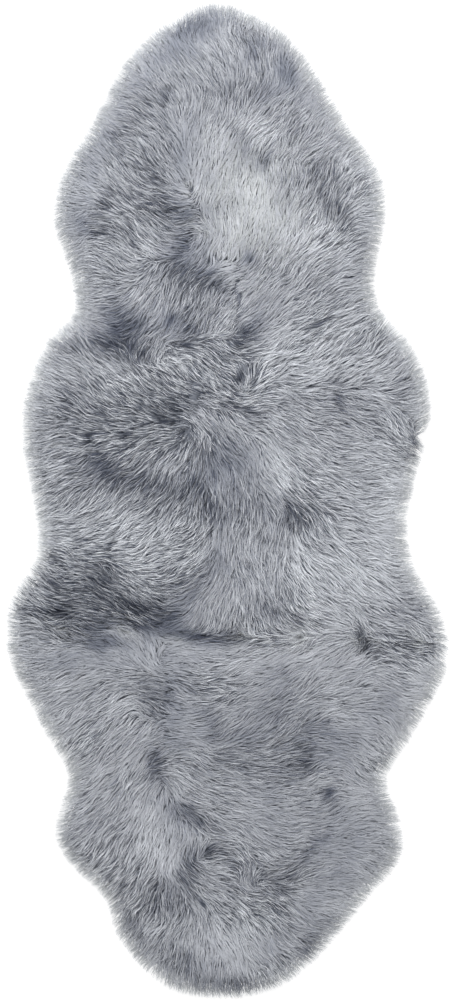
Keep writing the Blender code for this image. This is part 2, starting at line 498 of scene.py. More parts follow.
# The lie of the wool in bands across the rug: for each x, the way the wool points from root to tip, in
# degrees, 0 towards +X and 90 towards the long pelt's neck.
LIE = [
    {"y": 0.865, "ways": {-0.05: 75, 0.0: 100, 0.04: 74}},
    {"y": 0.82, "ways": {-0.14: 125, -0.09: 120, -0.05: 115, 0.0: 112, 0.04: 115, 0.09: 80}},
    {"y": 0.79, "ways": {-0.14: 125, -0.09: 120, -0.05: 115, 0.0: 112, 0.04: 108, 0.09: 98, 0.13: 60}},
    {"y": 0.755, "ways": {-0.17: 150, -0.12: 125, -0.06: 118, -0.03: 120, 0.0: 116, 0.04: 92, 0.09: 60,
        0.14: 52}},
    {"y": 0.72, "ways": {-0.19: 158, -0.14: 133, -0.1: 115, -0.05: 65, 0.0: 78, 0.04: 65, 0.09: 55, 0.13: 45,
        0.18: 48}},
    {"y": 0.68, "ways": {-0.23: 150, -0.19: 156, -0.14: 146, -0.1: 130, -0.067: 65, 0.0: 64, 0.04: 50,
        0.09: 52, 0.13: 52, 0.18: 50}},
    {"y": 0.64, "ways": {-0.23: 138, -0.19: 149, -0.14: 142, -0.1: 115, -0.05: 76, 0.0: 74, 0.04: 50,
        0.09: 49, 0.13: 50, 0.18: 47, 0.22: 38}},
    {"y": 0.595, "ways": {-0.28: 172, -0.23: 140, -0.19: 139, -0.14: 133, -0.09: 128, -0.04: 85, 0.0: 88,
        0.04: 80, 0.09: 80, 0.13: 71, 0.18: 60, 0.22: 44}},
    {"y": 0.55, "ways": {-0.28: 171, -0.23: 143, -0.19: 138, -0.14: 149, -0.09: 158, -0.04: 75, 0.0: 80,
        0.04: 85, 0.09: 75, 0.13: 75, 0.18: 73, 0.22: 42, 0.27: 36}},
    {"y": 0.527, "ways": {-0.13: 162, -0.105: 182, -0.08: 186}},
    {"y": 0.5, "ways": {-0.28: 204, -0.25: 195, -0.23: 160, -0.19: 139, -0.14: 147, -0.09: 170, -0.06: 180,
        -0.03: 110, 0.0: 84, 0.04: 79, 0.09: 79, 0.13: 76, 0.18: 55, 0.22: 36, 0.25: 2, 0.27: 2}},
    {"y": 0.485, "ways": {-0.27: 202, -0.25: 197, -0.235: 190}},
    {"y": 0.456, "ways": {-0.28: 210, -0.23: 150, -0.19: 146, -0.14: 153, -0.09: 174, -0.05: 245, -0.03: 84,
        0.0: 85, 0.04: 65, 0.09: 60, 0.13: 49, 0.18: 35, 0.22: 27}},
    {"y": 0.41, "ways": {-0.25: 198, -0.21: 155, -0.175: 172, -0.145: 215, -0.11: 229, -0.08: 211,
        -0.045: 228, 0.0: 195, 0.04: 37, 0.09: 50, 0.13: 49, 0.18: 36, 0.22: 5}},
    {"y": 0.387, "ways": {-0.12: 250, -0.102: 268, -0.088: 250}},
    {"y": 0.365, "ways": {-0.24: 168, -0.215: 175, -0.19: 224, -0.15: 231, -0.12: 242, -0.098: 260,
        -0.075: 231, -0.045: 238, 0.0: 239, 0.04: 40, 0.09: 39, 0.13: 43, 0.18: 41, 0.22: 15}},
    {"y": 0.32, "ways": {-0.28: 138, -0.23: 160, -0.19: 200, -0.17: 238, -0.145: 215, -0.09: 237, -0.05: 234,
        0.0: 226, 0.04: 32, 0.09: 35, 0.13: 38, 0.18: 33, 0.22: 39, 0.27: 42}},
    {"y": 0.275, "ways": {-0.32: 154, -0.28: 146, -0.23: 131, -0.19: 134, -0.155: 235, -0.118: 240,
        -0.09: 338, -0.05: 347, -0.01: 317, 0.02: 323, 0.045: 15, 0.09: 34, 0.13: 37, 0.18: 35, 0.22: 42,
        0.27: 47, 0.32: 49}},
    {"y": 0.228, "ways": {-0.32: 165, -0.28: 148, -0.23: 137, -0.19: 140, -0.14: 143, -0.09: 145,
        -0.067: 150, -0.05: 335, 0.0: 317, 0.022: 318, 0.04: 105, 0.057: 55, 0.09: 38, 0.13: 12, 0.18: 27,
        0.22: 28, 0.27: 30, 0.32: 36, 0.345: 37}},
    {"y": 0.205, "ways": {-0.04: 341, -0.01: 318, 0.01: 312, 0.04: 50, 0.06: 44, 0.075: 30, 0.095: 342,
        0.12: 332, 0.31: 25, 0.335: 42}},
    {"y": 0.18, "ways": {-0.32: 170, -0.28: 148, -0.23: 141, -0.19: 149, -0.14: 154, -0.09: 158, -0.06: 158,
        0.0: 325, 0.03: 24, 0.055: 12, 0.09: 350, 0.12: 334, 0.18: 1, 0.22: 340, 0.26: 344, 0.29: 322,
        0.32: 345, 0.345: 28}},
    {"y": 0.137, "ways": {-0.32: 180, -0.28: 171, -0.23: 168, -0.19: 177, -0.14: 177, -0.09: 191, -0.05: 304,
        0.0: 309, 0.04: 322, 0.09: 321, 0.13: 331, 0.18: 348, 0.22: 345, 0.27: 337, 0.31: 315, 0.355: 60}},
    {"y": 0.09, "ways": {-0.32: 193, -0.23: 192, -0.19: 196, -0.14: 214, -0.09: 217, -0.06: 241, -0.03: 287,
        0.0: 310, 0.04: 301, 0.09: 312, 0.13: 321, 0.18: 341, 0.22: 342, 0.27: 351, 0.32: 321}},
    {"y": 0.046, "ways": {-0.32: 215, -0.28: 215, -0.23: 217, -0.19: 225, -0.14: 238, -0.09: 241, -0.06: 254,
        0.0: 278, 0.04: 282, 0.09: 308, 0.13: 318, 0.18: 336, 0.22: 343, 0.27: 0, 0.32: 345}},
    {"y": 0.0, "ways": {-0.32: 219, -0.28: 215, -0.23: 222, -0.19: 224, -0.14: 225, -0.09: 239, -0.06: 248,
        -0.03: 292, 0.0: 256, 0.04: 272, 0.06: 300, 0.09: 316, 0.12: 330, 0.15: 325, 0.18: 331, 0.22: 348,
        0.27: 11, 0.32: 15}},
    {"y": -0.045, "ways": {-0.32: 194, -0.28: 192, -0.23: 210, -0.19: 217, -0.14: 209, -0.09: 220,
        -0.05: 247, 0.0: 255, 0.04: 257, 0.07: 265, 0.1: 245, 0.12: 256, 0.14: 310, 0.16: 321, 0.18: 316,
        0.22: 342, 0.27: 357, 0.32: 356}},
    {"y": -0.09, "ways": {-0.32: 155, -0.28: 162, -0.24: 165, -0.22: 182, -0.19: 200, -0.14: 211, -0.09: 212,
        -0.05: 226, 0.0: 266, 0.04: 282, 0.07: 272, 0.09: 263, 0.11: 258, 0.135: 302, 0.18: 315, 0.22: 333,
        0.27: 353, 0.32: 337}},
    {"y": -0.136, "ways": {-0.32: 143, -0.28: 157, -0.23: 158, -0.19: 159, -0.14: 172, -0.09: 216,
        -0.05: 227, 0.0: 272, 0.04: 282, 0.09: 289, 0.13: 306, 0.18: 314, 0.22: 323, 0.27: 333, 0.32: 338}},
    {"y": -0.163, "ways": {-0.08: 197, -0.065: 202, -0.03: 258}},
    {"y": -0.19, "ways": {-0.37: 142, -0.32: 154, -0.28: 194, -0.23: 151, -0.19: 148, -0.14: 154, -0.09: 170,
        -0.065: 248, 0.0: 257, 0.04: 268, 0.09: 285, 0.13: 309, 0.18: 319, 0.22: 324, 0.27: 321, 0.32: 334,
        0.36: 344}},
    {"y": -0.207, "ways": {-0.2: 140, -0.177: 130, -0.155: 138}},
    {"y": -0.23, "ways": {-0.37: 179, -0.33: 160, -0.29: 168, -0.25: 166, -0.21: 178, -0.17: 160, -0.12: 165,
        -0.09: 175, -0.06: 250, 0.0: 256, 0.04: 282, 0.08: 290, 0.12: 330, 0.17: 340, 0.21: 332, 0.25: 322,
        0.29: 340, 0.33: 350, 0.385: 357}},
    {"y": -0.258, "ways": {-0.37: 187, -0.33: 192, -0.29: 178, -0.24: 184, -0.21: 172, -0.18: 128,
        -0.15: 117, -0.125: 80, -0.105: 0, -0.085: 345, -0.05: 0, 0.0: 350, 0.03: 0, 0.06: 8, 0.09: 355,
        0.12: 12, 0.15: 16, 0.18: 16, 0.21: 10, 0.235: 280, 0.26: 38, 0.29: 318, 0.33: 332, 0.36: 345,
        0.39: 335}},
    {"y": -0.286, "ways": {-0.37: 182, -0.33: 187, -0.28: 183, -0.24: 195, -0.21: 172, -0.18: 135,
        -0.15: 122, -0.125: 90, -0.105: 30, -0.09: 350, -0.06: 343, -0.03: 355, 0.0: 2, 0.03: 20, 0.06: 32,
        0.09: 26, 0.12: 27, 0.15: 26, 0.18: 25, 0.21: 35, 0.24: 28, 0.27: 20, 0.3: 327, 0.33: 324, 0.36: 316,
        0.39: 290}},
    {"y": -0.318, "ways": {-0.37: 162, -0.32: 202, -0.28: 195, -0.23: 199, -0.17: 180, -0.13: 160,
        -0.09: 343, -0.05: 351, 0.0: 0, 0.04: 13, 0.09: 35, 0.13: 33, 0.18: 30, 0.22: 26, 0.27: 1, 0.32: 343,
        0.36: 332}},
    {"y": -0.343, "ways": {-0.15: 180, -0.13: 178, 0.17: 30, 0.19: 27, 0.21: 20}},
    {"y": -0.363, "ways": {-0.32: 209, -0.23: 209, -0.19: 206, -0.09: 333, -0.05: 7, 0.0: 15, 0.04: 32,
        0.09: 36, 0.13: 28, 0.18: 10, 0.22: 4, 0.27: 353, 0.32: 340}},
    {"y": -0.384, "ways": {-0.14: 131}},
    {"y": -0.409, "ways": {-0.32: 218, -0.23: 216, -0.19: 221, -0.14: 219, -0.09: 357, -0.05: 8, 0.0: 34,
        0.04: 33, 0.09: 27, 0.13: 24, 0.18: 11, 0.22: 353, 0.27: 335, 0.32: 309}},
    {"y": -0.454, "ways": {-0.28: 222, -0.23: 219, -0.19: 226, -0.14: 215, -0.1: 20, -0.05: 339, 0.0: 11,
        0.04: 19, 0.09: 18, 0.13: 15, 0.18: 3, 0.22: 335, 0.27: 320}},
    {"y": -0.5, "ways": {-0.28: 234, -0.23: 217, -0.19: 226, -0.14: 230, -0.1: 332, -0.05: 338, -0.03: 354,
        0.0: 352, 0.04: 357, 0.09: 2, 0.13: 19, 0.18: 10, 0.22: 331, 0.27: 311}},
    {"y": -0.545, "ways": {-0.28: 215, -0.23: 221, -0.19: 234, -0.14: 248, -0.1: 255, -0.08: 325, -0.05: 340,
        -0.03: 352, 0.0: 345, 0.04: 347, 0.09: 353, 0.13: 5, 0.18: 24, 0.22: 11, 0.27: 345}},
    {"y": -0.59, "ways": {-0.28: 221, -0.23: 225, -0.19: 240, -0.14: 253, -0.09: 266, -0.05: 309, 0.0: 333,
        0.04: 336, 0.09: 343, 0.13: 8, 0.18: 14, 0.22: 10, 0.27: 2}},
    {"y": -0.636, "ways": {-0.28: 215, -0.23: 226, -0.19: 239, -0.14: 249, -0.09: 262, -0.06: 264, -0.03: 35,
        0.0: 348, 0.04: 306, 0.09: 341, 0.13: 18, 0.18: 5, 0.22: 351, 0.27: 356}},
    {"y": -0.675, "ways": {-0.23: 219, -0.19: 234, -0.14: 246, -0.09: 290, -0.067: 327, -0.05: 342,
        -0.03: 354, 0.0: 349, 0.04: 258, 0.08: 13, 0.115: 49, 0.15: 22, 0.18: 3, 0.22: 348, 0.27: 346}},
    {"y": -0.72, "ways": {-0.19: 226, -0.14: 234, -0.1: 275, -0.05: 314, 0.0: 322, 0.04: 327, 0.09: 332,
        0.13: 339, 0.18: 344, 0.22: 350}},
    {"y": -0.773, "ways": {-0.19: 250, -0.14: 233, -0.09: 249, -0.05: 273, 0.0: 307, 0.04: 310, 0.09: 319,
        0.13: 328, 0.18: 1}},
    {"y": -0.82, "ways": {-0.14: 243, -0.09: 249, -0.05: 274, 0.0: 298, 0.04: 298, 0.09: 314, 0.13: 323}},
    {"y": -0.864, "ways": {-0.09: 269, -0.05: 272, 0.0: 280, 0.04: 285, 0.09: 301}},
]

# A patch of the wool is an oval with a soft edge: its middle, its half-axes, the way of the long one in
# degrees, and how much it adds there to what its table is about.
Patch = namedtuple("Patch", ["at", "x", "y", "long", "wide", "turn", "much"])


def patches(rows):
    """The patches of a table."""
    return [Patch(*row) for row in rows]


# Where the wool lies darker, below 0, or lighter (closed and sleek), above 0. Darker is partly painted shade,
# where the wool lies open, in folds and partings and under overhanging tips, and partly wool dyed deeper.
SHADES = patches([
    # at, x, y, long, wide, turn, much
    ("nape, left rim", -0.055, 0.862, 0.045, 0.022, 15, -0.26),
    ("nape, right rim", 0.035, 0.852, 0.05, 0.02, -35, -0.15),
    ("nape curl", 0.05, 0.826, 0.034, 0.013, -10, -0.13),
    ("left nape", -0.092, 0.812, 0.05, 0.04, 25, -0.11),
    ("nape curl's tail", 0.045, 0.802, 0.02, 0.011, 90, -0.16),
    ("right nape", 0.075, 0.803, 0.036, 0.028, -21, -0.12),
    ("neck, right rim", 0.11, 0.775, 0.03, 0.015, 100, -0.2),
    ("neck parting", 0.02, 0.743, 0.06, 0.018, -4, -0.15),
    ("neck parting's end", 0.13, 0.715, 0.035, 0.02, 100, -0.09),
    ("left neck", -0.113, 0.728, 0.016, 0.008, 90, -0.12),
    ("left shoulder", -0.195, 0.655, 0.08, 0.03, 55, -0.16),
    ("left shoulder's rim", -0.272, 0.605, 0.09, 0.012, 62, -0.1),
    ("left neck, outer", -0.16, 0.725, 0.05, 0.03, 45, -0.1),
    ("left of light back", -0.112, 0.625, 0.045, 0.028, 0, -0.12),
    ("light strip of the neck", -0.075, 0.7, 0.04, 0.014, 80, 0.04),
    ("left of the neck's light strip", -0.103, 0.675, 0.06, 0.018, -83, -0.06),
    ("light back, top", -0.022, 0.64, 0.055, 0.03, 60, 0.13),
    ("light back", 0.04, 0.555, 0.085, 0.058, 115, 0.18),
    ("light back's foot", 0.0, 0.468, 0.045, 0.028, 90, 0.2),
    ("light back, right end", 0.146, 0.5, 0.075, 0.045, -5, 0.11),
    ("light back's lower right side, pale", 0.058, 0.455, 0.05, 0.018, -66, 0.07),
    ("streak in light back", 0.075, 0.62, 0.03, 0.011, 45, -0.18),
    ("crescent in light back", 0.018, 0.655, 0.04, 0.013, -60, -0.15),
    ("beside the crescent", 0.068, 0.657, 0.05, 0.026, -45, 0.14),
    ("left shoulder hollow", -0.125, 0.578, 0.04, 0.014, 105, -0.2),
    ("left shoulder blade", -0.16, 0.545, 0.05, 0.03, -20, -0.12),
    ("left shoulder, inner", -0.155, 0.592, 0.045, 0.02, -33, -0.1),
    ("left blade, light", -0.147, 0.449, 0.023, 0.02, 51, 0.17),
    ("under left shoulder", -0.098, 0.523, 0.06, 0.02, -5, -0.27),
    ("left edge of the light back, pale", -0.058, 0.549, 0.061, 0.024, 5, 0.07),
    ("left leg, top", -0.22, 0.535, 0.025, 0.012, 60, -0.27),
    ("left leg", -0.24, 0.495, 0.04, 0.02, -15, -0.23),
    ("right shoulder", 0.16, 0.595, 0.045, 0.02, 5, -0.12),
    ("right shoulder, lower", 0.175, 0.56, 0.03, 0.02, -60, -0.14),
    ("right leg, top", 0.205, 0.522, 0.028, 0.016, -50, -0.27),
    ("right leg", 0.235, 0.48, 0.035, 0.014, -70, -0.19),
    ("right leg's inner side, pale", 0.157, 0.46, 0.065, 0.038, 61, 0.12),
    ("right shoulder's rim, pale", 0.225, 0.59, 0.054, 0.021, -51, 0.13),
    ("left ribs, top", -0.08, 0.475, 0.04, 0.02, 85, -0.28),
    ("left ribs", -0.09, 0.41, 0.045, 0.032, -20, -0.34),
    ("left blade's foot", -0.12, 0.489, 0.022, 0.019, -71, -0.09),
    ("left ribs, inner end", -0.034, 0.4, 0.038, 0.015, -30, -0.33),
    ("left ribs' inner rim, pale", 0.015, 0.377, 0.033, 0.016, 80, 0.08),
    ("below left ribs", -0.06, 0.36, 0.055, 0.035, 60, -0.15),
    ("outer side of the ribs' foot", -0.108, 0.345, 0.054, 0.018, 89, -0.07),
    # Painted shadow under the tips of the light back, where they hang over.
    ("shadow under the light back's tips", 0.045, 0.437, 0.018, 0.013, -20, -0.25),
    ("left armpit", -0.178, 0.318, 0.045, 0.03, -35, -0.4),
    ("left side of the waist", -0.23, 0.37, 0.12, 0.035, 95, -0.1),
    ("left armpit, lower", -0.184, 0.272, 0.05, 0.02, -15, -0.56),
    ("left armpit's rim", -0.25, 0.285, 0.05, 0.012, 8, -0.2),
    ("middle fold, left", -0.068, 0.3, 0.04, 0.024, -50, -0.24),
    ("above middle fold", -0.041, 0.32, 0.045, 0.018, 58, -0.1),
    ("middle fold, lower left", -0.068, 0.283, 0.03, 0.01, -5, -0.16),
    ("middle fold, across", 0.0, 0.27, 0.05, 0.02, 25, -0.12),
    ("middle fold, top", 0.033, 0.297, 0.033, 0.018, 52, -0.38),
    ("above the middle fold, pale", 0.003, 0.309, 0.026, 0.02, 11, 0.1),
    ("beside middle fold, pale", 0.062, 0.228, 0.035, 0.025, 52, 0.27),
    ("middle fold", 0.026, 0.226, 0.016, 0.01, 80, -0.4),
    ("left of the middle fold, pale", -0.023, 0.236, 0.056, 0.035, -14, 0.12),
    ("middle fold, bottom", 0.015, 0.195, 0.03, 0.008, 80, -0.36),
    ("below middle fold", 0.02, 0.166, 0.04, 0.009, -12, -0.22),
    ("left below the middle fold", -0.029, 0.123, 0.052, 0.035, 86, -0.09),
    ("right leg's back", 0.195, 0.365, 0.016, 0.011, 60, -0.13),
    ("right ribs, pale", 0.15, 0.27, 0.1, 0.07, -10, 0.13),
    ("below the shoulders", 0.062, 0.337, 0.06, 0.045, 67, -0.06),
    ("right armpit", 0.17, 0.322, 0.02, 0.009, 25, -0.13),
    ("right belly, upper pale", 0.255, 0.232, 0.06, 0.03, 32, 0.04),
    ("right belly, inner pale", 0.268, 0.205, 0.028, 0.018, 11, 0.1),
    ("left belly, light", -0.22, 0.238, 0.06, 0.024, 0, 0.08),
    ("left belly's rim", -0.288, 0.178, 0.05, 0.026, 60, -0.13),
    ("left belly whorl", -0.108, 0.165, 0.03, 0.022, 20, -0.33),
    ("above belly whorl", -0.06, 0.193, 0.045, 0.012, 20, -0.22),
    ("belly whorl as a whole", -0.094, 0.182, 0.047, 0.029, 40, -0.06),
    ("over belly whorl, pale", -0.081, 0.246, 0.03, 0.017, -66, 0.1),
    ("below belly whorl", -0.082, 0.125, 0.03, 0.014, -45, -0.28),
    ("light by belly whorl", -0.04, 0.145, 0.026, 0.018, 70, 0.11),
    ("left belly, upper streak", -0.24, 0.168, 0.06, 0.012, 0, -0.15),
    ("left belly, streak", -0.25, 0.115, 0.022, 0.013, -10, -0.2),
    ("left belly, dark", -0.225, 0.065, 0.045, 0.018, -55, -0.31),
    ("lower belly, dark", -0.145, 0.03, 0.075, 0.017, -12, -0.3),
    ("above left flank", -0.125, -0.003, 0.055, 0.03, 20, -0.13),
    ("lower belly's end", -0.06, 0.022, 0.028, 0.013, 40, -0.32),
    ("lower belly's tail", -0.03, -0.01, 0.032, 0.013, -50, -0.32),
    ("lower belly, middle", 0.005, -0.008, 0.06, 0.04, 7, -0.15),
    ("middle flank, dark", -0.032, -0.053, 0.062, 0.034, -68, -0.07),
    ("mid belly", -0.012, 0.07, 0.07, 0.04, 8, -0.25),
    ("left belly as a whole", -0.16, 0.1, 0.15, 0.1, 0, -0.07),
    ("left belly, lower dark", -0.191, 0.066, 0.067, 0.024, 14, -0.15),
    ("left belly's upper side, pale", -0.132, 0.216, 0.1, 0.04, 31, 0.13),
    ("left belly's foot, pale", -0.1, 0.07, 0.055, 0.028, 51, 0.08),
    ("left belly, lower side", -0.27, 0.03, 0.055, 0.04, 0, -0.12),
    ("left belly's outer side", -0.259, 0.125, 0.06, 0.038, 54, -0.06),
    ("left waist's rim, pale", -0.33, 0.003, 0.026, 0.014, 90, 0.08),
    ("right belly, light", 0.095, 0.05, 0.06, 0.03, -60, 0.2),
    ("right belly's foot, pale", 0.222, 0.006, 0.062, 0.028, 85, 0.08),
    ("right of the belly's fold, pale", 0.076, 0.142, 0.034, 0.018, -53, 0.08),
    ("right belly's edge", 0.28, 0.12, 0.07, 0.014, -50, -0.12),
    ("right belly's inner side", 0.135, 0.134, 0.046, 0.021, -58, -0.06),
    ("right belly, pale", 0.284, 0.132, 0.036, 0.028, -78, 0.1),
    ("right belly's rim", 0.336, 0.1, 0.03, 0.012, 90, -0.28),
    ("right belly's upper rim", 0.32, 0.2, 0.042, 0.02, 50, -0.08),
    ("right belly's mark", 0.2, 0.195, 0.038, 0.016, -75, -0.24),
    ("right flank mark", 0.13, -0.028, 0.036, 0.024, -65, -0.42),
    ("right flank as a whole", 0.088, -0.035, 0.08, 0.05, -20, -0.09),
    ("right waist, pale", 0.297, -0.006, 0.07, 0.032, -88, 0.2),
    ("left flank, light", -0.18, -0.04, 0.1, 0.034, -8, 0.18),
    ("left flank, lower light", -0.165, -0.1, 0.05, 0.028, -60, 0.2),
    ("left flank, upper dark", -0.143, -0.014, 0.06, 0.05, 19, -0.08),
    ("left flank's end, pale", -0.085, -0.096, 0.045, 0.022, 20, 0.12),
    ("left rump as a whole", -0.27, -0.18, 0.09, 0.055, -15, -0.23),
    ("left rump's upper side, pale", -0.258, -0.091, 0.08, 0.03, -13, 0.04),
    ("left rump's inner side, pale", -0.133, -0.152, 0.043, 0.018, -32, 0.1),
    ("left rump, inner", -0.228, -0.14, 0.04, 0.025, 90, -0.26),
    ("left rump, outer", -0.3, -0.207, 0.035, 0.013, -30, -0.24),
    ("left rump's foot", -0.28, -0.225, 0.06, 0.016, 4, -0.31),
    ("left rump's rim", -0.355, -0.2, 0.03, 0.015, -10, -0.14),
    ("left rump, lower dark", -0.256, -0.221, 0.076, 0.024, -14, -0.09),
    ("left hip of the short pelt", -0.298, -0.264, 0.045, 0.04, -47, -0.08),
    ("left rump's tip, pale", -0.348, -0.172, 0.03, 0.02, 71, 0.22),
    ("rump beside the seam", -0.144, -0.204, 0.06, 0.024, -8, -0.62),
    # Along the seam the long pelt's fringe hangs over the short pelt's wool: painted shadow under it.
    ("shadow line over the seam", -0.11, -0.236, 0.07, 0.012, -6, -0.18),
    ("seam's left smear", -0.235, -0.257, 0.045, 0.014, 0, -0.24),
    ("mid rump", -0.058, -0.15, 0.065, 0.024, 40, -0.2),
    ("seam, left of middle", -0.055, -0.242, 0.05, 0.014, -10, -0.22),
    ("seam, middle", 0.012, -0.25, 0.06, 0.014, 0, -0.3),
    ("right rump", 0.08, -0.195, 0.055, 0.02, 20, -0.16),
    ("right rump, inner", 0.031, -0.144, 0.032, 0.026, -40, -0.11),
    ("right rump, light", 0.142, -0.138, 0.075, 0.035, -70, 0.24),
    ("right rump, pale", 0.24, -0.12, 0.11, 0.07, -40, 0.13),
    ("right rump's rim", 0.33, -0.2, 0.05, 0.03, -10, -0.1),
    ("seam's right tufts", 0.245, -0.25, 0.016, 0.013, 90, -0.34),
    ("below right tufts", 0.286, -0.265, 0.045, 0.022, 8, -0.16),
    ("right hip of the short pelt, pale", 0.343, -0.271, 0.046, 0.019, 61, 0.14),
    ("below the seam, light", 0.15, -0.285, 0.12, 0.022, 0, 0.08),
    ("short rump, dark", -0.125, -0.36, 0.048, 0.032, -40, -0.18),
    ("short flank, pale", -0.195, -0.379, 0.052, 0.032, -53, 0.1),
    ("short rump, inner", -0.06, -0.335, 0.03, 0.015, -20, -0.15),
    ("short back's left side, pale", -0.07, -0.394, 0.024, 0.018, -57, 0.07),
    ("short back, dark", -0.022, -0.41, 0.04, 0.014, -75, -0.17),
    ("short back, right", 0.09, -0.445, 0.12, 0.07, -20, -0.09),
    ("short hip, pale", 0.213, -0.318, 0.048, 0.022, -40, 0.07),
    ("short back, middle dark", 0.019, -0.468, 0.06, 0.033, 12, -0.08),
    ("short back's right side, pale", 0.109, -0.538, 0.04, 0.03, -33, 0.07),
    ("short back's top, pale", 0.062, -0.414, 0.028, 0.024, 0, 0.08),
    ("short back, right dark", 0.14, -0.468, 0.035, 0.02, 80, -0.28),
    ("short back, right top", 0.17, -0.415, 0.035, 0.014, -20, -0.14),
    ("short back, top", 0.1, -0.357, 0.034, 0.022, 25, -0.11),
    ("short hip's rim, pale", 0.336, -0.357, 0.055, 0.02, 67, 0.1),
    ("short flank, left", -0.128, -0.48, 0.03, 0.016, -75, -0.35),
    ("short shoulder fold", -0.068, -0.57, 0.045, 0.018, -25, -0.28),
    ("short flank, right", 0.185, -0.53, 0.015, 0.01, 90, -0.22),
    ("short waist, right pale", 0.236, -0.555, 0.04, 0.024, -70, 0.09),
    ("short shoulder, right", 0.152, -0.63, 0.06, 0.012, 52, -0.18),
    ("short shoulder, left", -0.184, -0.667, 0.052, 0.026, -25, -0.04),
    ("short shoulder, middle", 0.109, -0.658, 0.025, 0.018, -15, -0.12),
    ("short shoulder, left light", -0.135, -0.61, 0.07, 0.045, -80, 0.14),
    ("crown curl, left end", -0.066, -0.668, 0.03, 0.018, 75, -0.38),
    ("below the crown curl", -0.068, -0.7, 0.05, 0.032, 60, -0.14),
    ("crown curl", -0.03, -0.635, 0.038, 0.01, 5, -0.22),
    ("crown curl, right end", 0.025, -0.662, 0.04, 0.01, -45, -0.2),
    ("below crown curl, right", 0.043, -0.7, 0.035, 0.02, -45, -0.11),
    ("short neck, right", 0.1, -0.713, 0.036, 0.022, 90, -0.27),
    ("short neck, right side dark", 0.115, -0.763, 0.058, 0.032, 82, -0.07),
    ("short neck's right rim, pale", 0.208, -0.725, 0.035, 0.016, 24, 0.1),
    ("short neck, left", -0.135, -0.724, 0.045, 0.025, -15, -0.24),
    ("short neck, middle pale", 0.038, -0.754, 0.045, 0.028, 7, 0.17),
    ("short neck's left rim", -0.175, -0.77, 0.045, 0.013, -55, -0.2),
    ("short nape, left", -0.08, -0.835, 0.045, 0.022, -35, -0.26),
    ("short nape, light", 0.0, -0.81, 0.04, 0.035, 0, 0.1),
    ("short nape's right end, pale", 0.079, -0.855, 0.03, 0.018, 25, 0.08),
    ("short nape's right rim", 0.155, -0.795, 0.045, 0.016, 60, -0.16),
    ("short neck's right edge", 0.194, -0.764, 0.024, 0.012, 63, -0.11),
    ("short nape's end", 0.016, -0.88, 0.065, 0.014, 0, -0.3),
])

